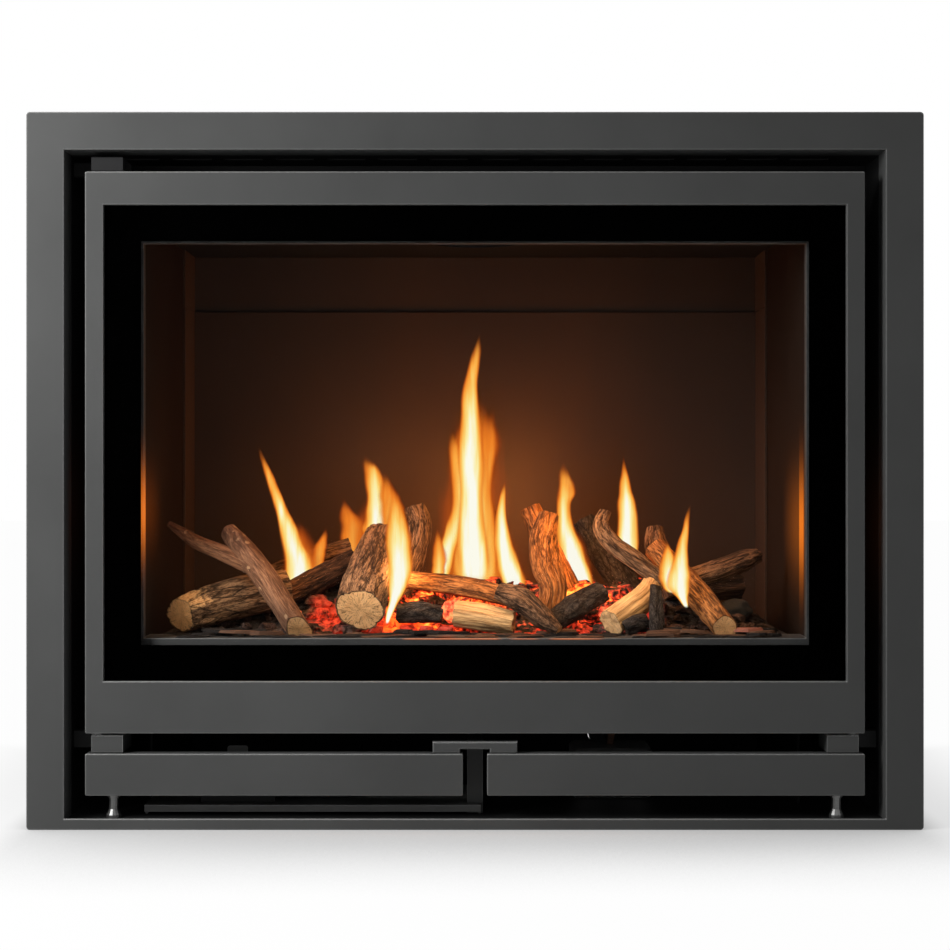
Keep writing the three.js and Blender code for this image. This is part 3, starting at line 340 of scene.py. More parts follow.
flue_flange = 0.014
flue_wall = 0.002
flue_bead = 0.002
bead_slope = 0.7 * flue_bead
bead_drop = 0.01
soot = grained(
    "sooted steel", 60, 4, (0.35, (0.012, 0.01, 0.009)), (0.7, (0.05, 0.042, 0.036)),
    relief=0.0002, Roughness=0.85, Specular_IOR_Level=0.12,
)
for name, finish in (("flue_collar_outer", zinc), ("flue_collar_inner", soot)):
    low, high = corners(name)
    centre = 0.5 * (low + high)
    radius = 0.5 * (high.x - low.x) - flue_flange
    bead = high.z - bead_drop
    collar = bmesh.new()
    profile = [
        collar.verts.new((centre.x + reach, centre.y, height)) for reach, height in (
            (radius - flue_wall, low.z), (radius + flue_flange, low.z),
            (radius + flue_flange, low.z + flue_wall), (radius, low.z + flue_wall),
            (radius, bead - flue_bead), (radius + bead_slope, bead - bead_slope),
            (radius + flue_bead, bead), (radius + bead_slope, bead + bead_slope),
            (radius, bead + flue_bead), (radius, high.z), (radius - flue_wall, high.z),
        )
    ]
    rim = [collar.edges.new(pair) for pair in zip(profile, profile[1:] + profile[:1])]
    bmesh.ops.spin(
        collar, geom=profile + rim, cent=centre, axis=(0, 0, 1), angle=2 * math.pi, steps=96,
        use_merge=True,
    )
    bmesh.ops.remove_doubles(collar, verts=collar.verts[:], dist=0.00001)
    bmesh.ops.recalc_face_normals(collar, faces=collar.faces[:])
    for each in collar.edges:
        each.smooth = each.calc_face_angle(0) < 0.6
    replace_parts(piece("turned_" + name, collar, finish), name)

screw_radius = 0.0036
screw_dome = 0.45
screw_inset = 0.008
screws = bmesh.new()


def add_screw(place, outward):
    """A pan head screw: a low dome with a cross-shaped dent."""
    made = bmesh.ops.create_icosphere(screws, subdivisions=2, radius=1)["verts"]
    turn = Vector((0, 0, 1)).rotation_difference(Vector(outward)).to_matrix()
    for vert in made:
        dent = 0.5 if min(abs(vert.co.x), abs(vert.co.y)) < 0.2 and vert.co.z > 0.8 else 1
        head = Vector((vert.co.x, vert.co.y, screw_dome * dent * vert.co.z))
        vert.co = turn @ head * screw_radius + Vector(place)


back_low, back_high = corners("casing_back")
back_face = min(back_high.y - 0.0004, cad_box[1][1] - screw_dome * screw_radius)
left, right = back_low.x + screw_inset, back_high.x - screw_inset
foot, top = back_low.z + screw_inset, back_high.z - screw_inset
for step in range(7):
    for height in (foot, top):
        add_screw((left + step * (right - left) / 6, back_face, height), (0, 1, 0))
for step in range(1, 4):
    for across in (left, right):
        add_screw((across, back_face, foot + step * (top - foot) / 4), (0, 1, 0))
collar_low, collar_high = corners("flue_collar_outer")
flue_centre = 0.5 * (collar_low + collar_high)
flue_radius = 0.075
screw_reach = flue_radius + 0.5 * flue_flange
for step in range(6):
    turn = math.radians(60 * step + 30)
    along, aside = screw_reach * math.cos(turn), screw_reach * math.sin(turn)
    add_screw((flue_centre.x + along, flue_centre.y + aside, collar_low.z + flue_wall), (0, 0, 1))
piece("casing_screws", screws, zinc)


# --- Firebox lining ---
# Back and side liners: thin steel trays, matt brown-black from firing and finely rubbed along the
# sheet. The side liners are darker copies of the back liner's finish, and a painted reflection of
# the flames glows on their front edges.

def fired_liner(name, share, sheen):
    """Fired sheet, with a share of the back liner's brightness."""
    lining = Finish(name, Specular_IOR_Level=sheen)
    cloud = lining.speckle(lining.place((1, 1, 0.5)), 7, 4)
    rubs_and_edge_highlight = lining.speckle(lining.place((1, 1, 0.16)), 120, 3)
    dark, brown, scuffed = (
        shade(colour, share)
        for colour in ((0.03, 0.0178, 0.0118), (0.05, 0.0295, 0.019), (0.022, 0.016, 0.012))
    )
    tint = lining.ramp(cloud, (0.3, dark), (0.72, brown))
    lining.feed("Base Color", lining.blend(0.35 * rubs_and_edge_highlight, tint, scuffed))
    lining.feed("Roughness", 0.6 + 0.14 * cloud)
    lining.bump(rubs_and_edge_highlight, 0.00003)
    return lining


# The height at which the painted reflection of a flame is brightest, and how far it spreads from
# there.
left_glow = (0.2763, 0.0237)
right_glow = (0.2632, 0.0294)
reflection_glow_strength = 1.05


def paint_fire_reflection(finish, glow, colour, near, far, haze):
    """A painted reflection of the fire on an upright edge: a glow round a height, between two
    depths.
    """
    spot = finish.here()
    inward = spot.axis("Y") - front
    band = inward.within(near - 0.002, near) * inward.within(far + 0.002, far)
    band = band.most(inward.within(far + 0.11, far, 0, haze))
    share = band * spot.axis("Z").hump(*glow)
    finish.feed("Emission Color", finish.blend(share, (0, 0, 0), colour))
    finish.feed("Emission Strength", reflection_glow_strength)


dress(fired_liner("fired back liner", 1.0, 0.22), "liner_back_lower", "liner_back_upper")
# The side liners take a 0.36 share of the back liner's brightness.
left_lining = fired_liner("darker left liner", 0.36, 0.08)
paint_fire_reflection(left_lining, left_glow, (0.74, 0.135, 0.006), 0.01, 0.055, 0.1)
dress(left_lining, "liner_left")
right_lining = fired_liner("darker right liner", 0.36, 0.08)
paint_fire_reflection(right_lining, right_glow, (0.82, 0.185, 0.011), 0.061, 0.085, 0.22)
dress(right_lining, "liner_right")


# --- Door ---
# A folded steel frame in the surround's powder coat round a ceramic glass pane. The pane's edge
# carries a glossy black enamel border, and a rope gasket and two plated retainers lie behind it.
# The firebox front seen through it has the same coat. Its left lip and its sill carry a painted
# reflection of the fire, an orange glow.

dress(powder_coat, "door_frame")
front_coat = powder("firebox front coat")
spot = front_coat.here()
across, upward = spot.axis("X"), spot.axis("Z")
inward = spot.axis("Y") - front
# Painted reflection: an orange glow of the fire on the left lip and, in patches, on the sill.
lip = (across + 0.2915).size().within(0.0035, 0.0025) * inward.within(0.024, 0.0255)
lip = lip * upward.hump(*left_glow)
sill = (across - 0.02).size().within(0.11, 0.07) * inward.within(0.0295, 0.0275)
sill = sill * upward.within(0.163, 0.1638) * upward.within(0.17, 0.168)
sill = sill * front_coat.speckle(spot, 22, 2).within(0.46, 0.56)
painted_reflection = front_coat.blend(lip.most(0.6 * sill), (0, 0, 0), (0.76, 0.17, 0.012))
front_coat.feed("Emission Color", painted_reflection)
front_coat.feed("Emission Strength", reflection_glow_strength)
dress(front_coat, "firebox_front")

pane = Finish(
    "ceramic glass", Base_Color=(0.004, 0.004, 0.004), Alpha=0.05, Specular_IOR_Level=0.03,
    Roughness=0.03,
)
dress(pane, "door_glass")

# The border lies on the pane's back. Its outer and inner edges are given as half width, foot, top.
pane_back = front + 0.0153
enamel_wall = 0.0002
enamel_outer = (0.33, 0.1225, 0.5505)
enamel_inner = (0.2925, 0.1595, 0.5134)
border = bmesh.new()
bmesh.ops.create_grid(border, x_segments=3, y_segments=3, size=1)
middle = min(border.faces, key=lambda face: face.calc_center_median().length)
bmesh.ops.delete(border, geom=[middle], context="FACES_ONLY")
for corner in border.verts:
    across = enamel_inner[0] if abs(corner.co.x) < 0.5 else enamel_outer[0]
    heights = enamel_inner if abs(corner.co.y) < 0.5 else enamel_outer
    height = heights[2] if corner.co.y > 0 else heights[1]
    corner.co = (math.copysign(across, corner.co.x), pane_back - enamel_wall, height)
bmesh.ops.solidify(border, geom=border.faces[:], thickness=enamel_wall)
enamel = grained(
    "black enamel", 500, 2, (0.4, (0.0006, 0.0006, 0.0006)), (0.8, (0.0012, 0.0012, 0.0012)),
    Specular_IOR_Level=0.0, Roughness=0.3,
)
piece("enamel_border", border, enamel, "door", smooth=False)

rope = Finish("glass fibre rope", Roughness=0.95)
knit = rope.node(
    "ShaderNodeTexWave", {"wave_type": "BANDS", "bands_direction": "DIAGONAL"},
    {"Vector": rope.place(), "Scale": 160.0, "Distortion": 1.0},
)
rope.feed("Base Color", rope.ramp(knit, (0.0, (0.012, 0.012, 0.011)), (1.0, (0.05, 0.048, 0.045))))
rope.bump(knit, 0.0004)
dress(rope, "door_gasket")

plating = grained(
    "zinc plating", 700, 3, (0.2, (0.38, 0.38, 0.37)), (0.8, (0.5, 0.5, 0.49)), (0.26, 0.16),
    stretch=(0.1, 1, 1), Metallic=0.95,
)
dress(plating, "glass_retainer_top", "glass_retainer_bottom")


# --- Flaps ---
# Two folded channels that close the gap under the door, in the surround's coat, on turned steel
# studs. The brackets over them have the same coat, and painted shade makes their outer arms black.
# The tray behind them and its sliding lever are a light grey that stands in for the light their
# shaded place lacks, with painted edge highlights.

dress(powder_coat, "flap_left", "flap_right", "catch_bracket", "centre_post")
# Painted shade: the brackets' outer arms, past 0.3365 m from the middle, are black.
dress(powder("bracket powder coat", shade_beyond=0.3365), "hinge_bracket_left", "hinge_bracket_right")
# Painted light: the tray and lever are a light grey that stands in for the light they lack in their
# shaded place.
brightened_grey = sheet_paint("grey steel brightened as painted light", (0.2, 0.2, 0.195), 0.5, 0.2, edge_highlight=0.5)
dress(brightened_grey, "control_tray", "control_lever")
stud_steel = grained(
    "turned steel stud", 400, 2, (0.3, (0.09, 0.09, 0.09)), (0.7, (0.17, 0.17, 0.165)),
    (0.3, 0.16), stretch=(1, 1, 20), Metallic=0.9,
)
dress(stud_steel, "flap_pivot_left", "flap_pivot_right")


# --- Controls and gas parts ---
# A moulded receiver on the tray, the cast valve with its ribbed knob, the copper pipe that rises
# from the valve to the burner, and the pilot, scaled by heat. The pipe is tarnished, and painted
# darker still as shade, for it shows in the dark gap under the door.

moulding = grained(
    "moulded plastic", 1200, 2, (0.3, (0.012, 0.012, 0.013)), (0.8, (0.02, 0.02, 0.021)),
    (0.42, 0.14), 0.00004, Specular_IOR_Level=0.4,
)
dress(moulding, "control_receiver", "valve_knob")
casting = grained(
    "die casting", 420, 4, (0.2, (0.36, 0.36, 0.35)), (0.8, (0.5, 0.5, 0.49)), (0.42, 0.2),
    0.00008, Metallic=0.85,
)
dress(casting, "gas_valve")
# Painted shade: the copper is kept far darker than bare copper, where it shows in a dark gap.
copper = grained(
    "copper pipe", 60, 4, (0.3, (0.05, 0.03, 0.022)), (0.7, (0.16, 0.085, 0.055)), (0.36, 0.24),
    Metallic=1.0,
)
dress(copper, "burner_feed_pipe")
scaled = grained(
    "heat scaled steel", 200, 3, (0.3, (0.03, 0.026, 0.024)), (0.7, (0.09, 0.075, 0.065)),
    Metallic=0.6, Roughness=0.6,
)
dress(scaled, "pilot_burner")


# --- Ceramic logs ---
# Moulded fibre-ceramic logs, painted as bark, split wood and charcoal. Each is a bent, ridged
# limb with a sawn or broken end, laid on the sill and on the ember bed.

fire_half = 0.295
fire_front = front + 0.0283
fire_depth = 0.3367
sill_top = 0.1644
fire_height = 0.372
log_radius = 0.023


def at_place(across, depth, up):
    """A place in the firebox, given as shares of its half width, depth and height."""
    return Vector((
        across * fire_half, fire_front + depth * fire_depth, sill_top + up * fire_height,
    ))


def route_point(points, along):
    """A point on the smooth curve through the points, as the frame's logs follow it."""
    last = len(points) - 1
    place = min(max(along, 0.0), 1.0) * last
    step = min(int(place), last - 1)
    share = place - step
    second, third = points[step], points[step + 1]
    first = points[step - 1] if step > 0 else 2 * second - third
    fourth = points[step + 2] if step + 2 <= last else 2 * third - second
    before = math.sqrt((second - first).length) or 1
    here = math.sqrt((third - second).length) or 1
    after = math.sqrt((fourth - third).length) or 1
    leave = (second - first) / before - (third - first) / (before + here) + (third - second) / here
    reach = (third - second) / here - (fourth - second) / (here + after) + (fourth - third) / after
    leave, reach = leave * here, reach * here
    bend = -3 * second + 3 * third - 2 * leave - reach
    twist = 2 * second - 2 * third + leave + reach
    return second + leave * share + bend * share ** 2 + twist * share ** 3


def share_along(shares, along):
    place = along * (len(shares) - 1)
    step = min(int(place), len(shares) - 2)
    return shares[step] + (shares[step + 1] - shares[step]) * (place - step)


def rough(where, across, along, offset):
    """Noise at a place, with its scale across the limb and along it."""
    return noise.noise(Vector((where.x * across, where.y * across, where.z * along)) + offset)


# How fast the furrows change along the limb, and how deep they are, for each kind of surface.
furrows_of = {"bark": (22, 0.0017), "split": (9, 0.0008), "char": (40, 0.0011)}


def bark_height(where, seed, kind):
    """How far the surface stands out, in metres, at a place on the straightened limb."""
    offset = Vector((seed * 3.7, seed * 1.3, seed * 5.1))
    if kind == "smooth":
        return rough(where, 90, 90, offset) * 0.0006 + rough(where, 420, 60, offset) * 0.0002
    stretch, depth = furrows_of[kind]
    furrow = max(1 - abs(rough(where, 130, stretch, offset)) * 2.4, 0) ** 3
    coarse, fine = rough(where, 60, 20, offset), rough(where, 700, 160, offset)
    return coarse * 0.0009 - furrow * depth + fine * 0.00028


def cut_across(shape, edges, axis, cuts):
    """Cuts those of the edges that run along an axis (0, 1 or 2) into equal parts."""
    along = [
        each for each in edges if abs(each.verts[0].co[axis] - each.verts[1].co[axis]) > 0.5
    ]
    bmesh.ops.subdivide_edges(shape, edges=along, cuts=cuts, use_grid_fill=True)


def add_limb(shape, limb, kind, seed, ridges, flat, lean, sides, rings):
    """Adds one limb: a cylinder with ringed ends, bent along its route and roughened like bark."""
    points = [at_place(*(part / 1000 for part in row[:3])) for row in limb]
    radii = [row[3] / 100 for row in limb]
    length = sum((after - before).length for before, after in zip(points, points[1:]))
    bmesh.ops.create_cone(shape, cap_ends=True, segments=sides, radius1=1, radius2=1, depth=1)
    placed = shape.verts.layers.float.get("placed")
    loose = [vert for vert in shape.verts if not vert[placed]]
    faces = {face for vert in loose for face in vert.link_faces}
    caps = [face for face in faces if len(face.verts) > 4]
    edges = {edge for vert in loose for edge in vert.link_edges}
    for cap in caps:
        for edge in cap.edges:
            edge.smooth = False
    cut_across(shape, edges, 2, rings - 1)
    bmesh.ops.inset_individual(shape, faces=caps, thickness=0.07)
    for step in range(6):
        rims = bmesh.ops.inset_individual(shape, faces=caps, thickness=0.12)["faces"]
        for rim_face in rims + caps:
            rim_face.material_index = 1
    bmesh.ops.poke(shape, faces=caps)
    grain_layer = shape.verts.layers.float_vector.get("grain")
    placed = shape.verts.layers.float.get("placed")
    saw = 0.0016 if kind in ("split", "char") else 0.0005
    for vert in [vert for vert in shape.verts if not vert[placed]]:
        angle = math.atan2(vert.co.y, vert.co.x)
        rim = min(math.hypot(vert.co.x, vert.co.y), 1.0)
        along = vert.co.z + 0.5
        middle = route_point(points, along)
        ahead, behind = route_point(points, along + 0.0001), route_point(points, along - 0.0001)
        forward = (ahead - behind).normalized()
        side = forward.cross(Vector((0, 1, 0))).normalized()
        over = side.cross(forward)
        ridge = 0.6 * math.sin(3 * angle + seed) + 0.4 * math.sin(5 * angle + 7 * along + 2 * seed)
        base = share_along(radii, along)
        cut = flat * base
        limit = cut / max(math.sin(angle - seed), cut / 2)
        radius = min(base * (1 + ridges * ridge), limit) * log_radius
        where = Vector((radius * math.cos(angle), radius * math.sin(angle), along * length))
        lift = bark_height(where, seed, kind) * min(1, radius / 0.012)
        if along < 0.0005 or along > 0.9995:
            inside = rim * (radius + lift)
            spot = Vector((inside * math.cos(angle), inside * math.sin(angle), seed))
            middle += forward * noise.noise(spot * 160) * saw
            where.xy *= rim
        radius = rim * (radius + lift)
        vert[grain_layer] = where
        vert[placed] = 1.0
        offset = side * radius * math.cos(angle) + over * radius * math.sin(angle)
        vert.co = middle + offset - forward * offset.y * lean * max(0, 1 - along / 0.2)


crack_black = (0.012, 0.007, 0.005)
scar_tan = (0.42, 0.27, 0.16)


def bark_finish(name, crest, valley, stretch, depth=0.0009, crack=1.0, scars=0.0, bare=0.0):
    """Painted bark: crests, darker furrows and black cracks, with scars or bare wood if asked."""
    bark = Finish(name, Specular_IOR_Level=0.12)
    straight = bark.attribute("grain", "Vector")
    along = straight.stretched((1, 1, stretch))
    furrows = bark.speckle(along, 260, 5, 0.65, 0.3)
    fibres = bark.speckle(along, 1300, 3, 0.65)
    patches = bark.speckle(straight, 70, 4, 0.6)
    wander = bark.speckle(along, 150, 4, output="Color")
    moved = bark.node("ShaderNodeVectorMath", {"operation": "MULTIPLY_ADD"}, {
        0: wander, 1: (0.009, 0.009, 0.009), 2: along,
    })
    plates = bark.cells(moved, 120.0, "DISTANCE_TO_EDGE", "Distance")
    split = plates.within(0.0, 0.085, crack, 0.0) * patches.within(0.36, 0.5, 0.25, 1.0)
    mixed = 0.5 * furrows + 0.5 * fibres
    deep, bright = shade(valley, 0.55), shade(crest, 1.35)
    colour = bark.ramp(mixed, (0.38, deep), (0.46, valley), (0.54, crest), (0.63, bright))
    colour = bark.blend(patches.within(0.5, 0.7, 0, 0.6), colour, valley)
    if scars:
        nicks = bark.cells(straight, 130.0, "F1", "Distance")
        nicked = nicks.within(0.36, 0.26, 0, scars) * patches.within(0.52, 0.6)
        colour = bark.blend(nicked, colour, scar_tan)
    if bare:
        near_end = (straight.axis("Z") + 0.06 * patches).within(bare + 0.036, bare + 0.03)
        one_side = (straight.axis("X") + 0.012 * patches).within(0.006, 0.009)
        wood = bark.ramp(fibres, (0.36, (0.26, 0.15, 0.07)), (0.6, (0.66, 0.44, 0.23)))
        colour = bark.blend(near_end * one_side, colour, wood)
    bark.feed("Base Color", bark.blend(split * 0.85, colour, crack_black))
    bark.feed("Roughness", 0.9 - 0.12 * fibres)
    bark.bump(mixed - 0.5 * split, depth)
    return bark


def sawn_finish(name, wood, ring):
    """A sawn end: growth rings, and drying cracks that run out from the middle."""
    sawn = Finish(name, Roughness=0.85, Specular_IOR_Level=0.12)
    flat = sawn.attribute("grain", "Vector").stretched((1, 1, 0))
    wobble = sawn.speckle(flat, 90, 3)
    reach = sawn.node("ShaderNodeVectorMath", {"operation": "LENGTH"}, {0: flat}, "Value")
    rings = (reach * 4200 + wobble * 9).sine() * 0.5 + 0.5
    across = flat.axis("X")
    angle = across.math("ARCTAN2", flat.axis("Y"), across)
    around = sawn.node("ShaderNodeCombineXYZ", None, {0: angle * 2.6, 1: reach * 30})
    spokes = sawn.speckle(around, 2.2, 2)
    cracks = (spokes - 0.5).size().within(0.0, 0.022, 1.0, 0.0)
    stain = sawn.speckle(flat, 130, 4)
    colour = sawn.blend(0.7 * rings, wood, ring)
    colour = sawn.blend(stain.within(0.4, 0.66, 0, 0.6), colour, ring)
    colour = sawn.blend(0.8 * cracks, colour, (0.05, 0.025, 0.01))
    sawn.feed("Base Color", colour)
    sawn.bump(0.25 * rings - cracks + 0.5 * stain, 0.0004)
    return sawn


bark_finishes = {
    "grey": bark_finish(
        "grey brown bark", (0.26, 0.16, 0.094), (0.082, 0.046, 0.027), 0.16, 0.0014,
    ),
    "stripped": bark_finish(
        "part stripped bark", (0.24, 0.152, 0.09), (0.074, 0.043, 0.025), 0.16, 0.0014, bare=0.03,
    ),
    "red": bark_finish(
        "red brown bark", (0.2, 0.105, 0.062), (0.1, 0.048, 0.028), 0.12, 0.0006, 0.35, 0.8,
    ),
    "tan": bark_finish("tan bark", (0.37, 0.158, 0.052), (0.13, 0.05, 0.018), 0.12, 0.0008, 0.8),
    "split": bark_finish("split wood", (0.6, 0.4, 0.2), (0.4, 0.24, 0.11), 0.04, 0.0006, 0.5),
    "brown": bark_finish(
        "dark brown bark", (0.18, 0.105, 0.062), (0.055, 0.031, 0.019), 0.12, 0.0011,
    ),
    "burnt": bark_finish("burnt bark", (0.06, 0.032, 0.02), (0.018, 0.01, 0.007), 0.12, 0.0011),
    "char": bark_finish("charred wood", (0.05, 0.043, 0.04), (0.015, 0.012, 0.011), 0.4, 0.0009),
}
sawn_pale = sawn_finish("sawn end", (1.0, 0.66, 0.34), (0.76, 0.44, 0.2))
sawn_dark = sawn_finish("charred end", (0.05, 0.035, 0.025), (0.02, 0.014, 0.01))


def add_log(name, bark, kind, seed, ridges, *limbs, slot, flat=2, lean=0, sides=84, rings=72):
    """Makes a log of its limbs. A split one is cut flat; the first limb's foot can be cut askew."""
    shape = bmesh.new()
    shape.verts.layers.float_vector.new("grain")
    shape.verts.layers.float.new("placed")
    for number, limb in enumerate(limbs):
        add_limb(shape, limb, kind, seed, ridges, flat, 0 if number else lean, sides, rings)
    sawn = sawn_dark if bark in ("char", "burnt") else sawn_pale
    return piece(name, shape, bark_finishes[bark], extra=[sawn])


# Name, bark, kind of surface, height of the ridges, other values, and the limbs. Each limb is a
# row of points: the place across, in depth and up, in thousandths of the firebox, and the radius
# there, in hundredths of a log's.
logs = (
    ("branch_left_fork", "red", "smooth", 0.06, {"lean": 1.1}, (
        (-534, 78, 15, 45), (-652, 119, 150, 50), (-724, 161, 215, 47), (-763, 197, 250, 34),
    ), (
        (-660, 130, 158, 35), (-779, 155, 198, 32), (-855, 167, 222, 28), (-902, 173, 246, 22),
        (-947, 185, 268, 12),
    )),
    ("log_centre_left_big", "grey", "bark", 0.05, {}, (
        (-353, 131, 60, 98), (-339, 209, 105, 100), (-314, 328, 169, 94), (-294, 433, 222, 83),
    )),
    ("log_right_front", "tan", "smooth", 0.07, {"lean": 0.8}, (
        (759, 78, 18, 47), (700, 143, 81, 53), (638, 221, 139, 52), (569, 304, 203, 45),
    )),
    ("log_right_light", "split", "split", 0.05, {}, (
        (415, 107, 30, 55), (471, 149, 59, 57), (528, 203, 90, 52), (568, 269, 132, 40),
    )),
    ("wedge_right_dark", "char", "char", 0.1, {"flat": 0.5}, (
        (549, 88, -4, 38), (548, 100, 60, 36), (548, 125, 118, 24),
    )),
    ("log_centre_split", "split", "split", 0.05, {"flat": 0.55}, (
        (-59, 179, 48, 54), (28, 161, 39, 56), (120, 143, 28, 45),
    )),
    ("log_centre_fork", "brown", "bark", 0.1, {}, (
        (71, 149, 103, 35), (144, 125, 80, 53), (204, 96, 43, 43), (255, 72, 13, 19),
    )),
    ("log_centre_long", "tan", "split", 0.08, {"flat": 0.7}, (
        (-242, 275, 124, 40), (-109, 245, 115, 46), (16, 215, 100, 46), (139, 185, 76, 42),
    )),
    ("log_centre_right_upright", "tan", "bark", 0.06, {}, (
        (233, 358, 287, 45), (216, 334, 224, 57), (224, 304, 163, 61), (245, 269, 102, 56),
        (219, 239, 12, 48),
    )),
    ("log_left_front", "stripped", "bark", 0.06, {"lean": 0.5}, (
        (-905, 155, 44, 69), (-836, 185, 64, 79), (-733, 233, 86, 84), (-599, 293, 101, 81),
    )),
    ("branch_right_hook", "grey", "bark", 0.08, {}, (
        (413, 293, 298, 24), (397, 287, 261, 36), (431, 275, 219, 38), (504, 251, 175, 38),
        (588, 225, 124, 32),
    )),
    ("log_centre_left_curved", "grey", "bark", 0.06, {}, (
        (-199, 478, 306, 46), (-182, 472, 259, 54), (-197, 436, 181, 54), (-228, 388, 108, 49),
        (-246, 358, 72, 45),
    )),
    ("log_right_split", "brown", "split", 0.1, {"flat": 0.6}, (
        (655, 262, 125, 38), (760, 300, 145, 49), (860, 335, 173, 45), (904, 350, 183, 29),
    )),
    ("log_charcoal_front", "char", "char", 0.1, {}, (
        (232, 173, 24, 42), (310, 203, 60, 52), (397, 245, 98, 44),
    )),
    ("log_left_charred", "burnt", "char", 0.1, {}, (
        (-625, 328, 74, 49), (-510, 358, 118, 53), (-382, 388, 172, 49),
    )),
    ("log_left_back", "brown", "bark", 0.08, {}, (
        (-699, 522, 105, 52), (-575, 537, 150, 57), (-405, 552, 190, 53),
    )),
    ("log_centre_right_back", "tan", "bark", 0.07, {}, (
        (180, 507, 303, 42), (212, 496, 246, 50), (263, 466, 164, 50), (307, 436, 88, 50),
    )),
    ("log_right_dark", "char", "bark", 0.07, {}, (
        (362, 597, 270, 51), (414, 579, 197, 59), (484, 549, 114, 63), (541, 519, 58, 59),
    )),
    ("log_right_knot", "brown", "bark", 0.1, {}, (
        (580, 418, 255, 33), (582, 406, 210, 49), (606, 388, 152, 58), (642, 364, 82, 53),
    )),
)
for seed, (name, bark, kind, ridges, others, *limbs) in enumerate(logs, start=1):
    slot = {"char": "char_ceramic", "split": "pale_ceramic"}.get(bark, "bark_ceramic")
    made = add_log("ceramic_" + name, bark, kind, seed, ridges, *limbs, slot=slot, **others)
    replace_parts(made, name)


# --- Ember bed ---
# A moulded fibre slab over the burner that rises behind the front logs, strewn with broken
# charcoal. It glows red and orange in its hollows and is ash grey on its crests. Four hot coals
# lie on it, brighter than the rest.

bed_half = 0.2852
bed_front = fire_front + 0.0512
bed_depth = front + 0.3312 - bed_front
bed_bottom = 0.1521
bed_crest = 0.038
bed_lump = 0.0032


def bed_height(across_share, depth_share):
    rise = min(max((depth_share - 0.02) / 0.4, 0), 1)
    mound = rise * rise * (3 - 2 * rise) * (1 - 0.5 * depth_share ** 3)
    lump = math.sin(31 * across_share + 5 * depth_share)
    lump *= math.cos(19 * depth_share + 3 * across_share)
    fade = 1 - across_share ** 6
    return sill_top + fade * (bed_crest * mound + bed_lump * lump * min(1, 6 * depth_share))


def glow_finish(name, ash, crust, heat):
    """Charcoal that glows where the noise is hot, in the middle and in one patch at the left."""
    ember = Finish(name, Roughness=0.95, Specular_IOR_Level=0.1, Emission_Strength=3.2)
    here = ember.here()
    broad = ember.speckle(here, 22, 3)
    cell = ember.speckle(here, 150, 5, 0.65)
    across, inward = here.axis("X"), here.axis("Y") - front
    middle_patch = (across - 0.03).size().within(0.15, 0.1)
    left_patch = (across + 0.137).size().within(0.022, 0.008, 0, 0.42) * inward.within(0.15, 0.12)
    heat = middle_patch.most(left_patch) * inward.within(0.078, 0.125, 0.25, 1.0) * heat
    ember.feed("Emission Color", ember.ramp(
        (0.5 * broad + 0.5 * cell).within(0.45, 0.6) * heat, (0.0, (0, 0, 0)),
        (0.35, (0.3, 0.012, 0.003)), (0.7, (0.8, 0.09, 0.008)), (1.0, (1, 0.3, 0.04)),
    ))
    ember.feed("Base Color", ember.ramp(cell, (0.4, crust), (0.66, ash)))
    ember.bump(cell, 0.0016)
    return ember


bed = bmesh.new()
bmesh.ops.create_cube(bed, size=1)
cut_across(bed, bed.edges, 0, 219)
cut_across(bed, bed.edges, 1, 99)
for vert in bed.verts:
    across_share = 2 * vert.co.x
    depth_share = vert.co.y + 0.5
    top = vert.co.z > 0
    vert.co = Vector((across_share * bed_half, bed_front + depth_share * bed_depth, bed_bottom))
    if top:
        inner = min(1, 12 * depth_share, 12 * (1 - depth_share), 20 * (1 - abs(across_share)))
        chunk = noise.fractal(Vector((vert.co.x, vert.co.y, 0)) * 120, 1, 2, 4) * 0.0024
        vert.co.z = bed_height(across_share, depth_share) + chunk * max(inner, 0) - 0.0012
bed_finish = glow_finish("ember bed", (0.09, 0.08, 0.078), (0.012, 0.009, 0.008), 1.0)
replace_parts(piece("glowing_ember_bed", bed, bed_finish), "ember_bed")


def add_lump(shape, place, size, turn, seed, sharp=0.35):
    """Adds one broken lump: a cube with its edges cut off and its corners pushed about."""
    made = bmesh.ops.create_cube(shape, size=1)["verts"]
    edges = list(dict.fromkeys(edge for vert in made for edge in vert.link_edges))
    cut_faces = bmesh.ops.bevel(
        shape, geom=edges, offset=0.2, affect="EDGES", segments=1, profile=0.5, material=-1,
    )
    for vert in {vert for face in cut_faces["faces"] for vert in face.verts}:
        push = noise.noise_vector(vert.co * 1.9 + Vector((seed, 2 * seed, 3 * seed)))
        vert.co += push * sharp
        vert.co = Vector((vert.co.x * size[0], vert.co.y * size[1], vert.co.z * size[2]))
        vert.co = turn @ vert.co + place


def turned(around, over, axis="X"):
    return Matrix.Rotation(around, 3, "Z") @ Matrix.Rotation(over, 3, axis)


# Without this seed, noise_vector starts from another place in each run.
noise.seed_set(7)
chance = random.Random(7)
coals = bmesh.new()
for number in range(300):
    across_share = chance.uniform(-0.86, 0.9)
    depth_share = chance.uniform(0.03, 0.62)
    size = chance.uniform(0.006, 0.012)
    place = Vector((
        across_share * bed_half, bed_front + depth_share * bed_depth,
        bed_height(across_share, depth_share) + 0.25 * size,
    ))
    turn = turned(chance.uniform(0, 6), chance.uniform(-0.5, 0.5))
    add_lump(coals, place, (size * 1.5, size, size * 0.8), turn, number)
coal_finish = glow_finish("glowing charcoal", (0.11, 0.078, 0.07), (0.018, 0.012, 0.01), 0.85)
piece("charcoal_lumps", coals, coal_finish, smooth=False)

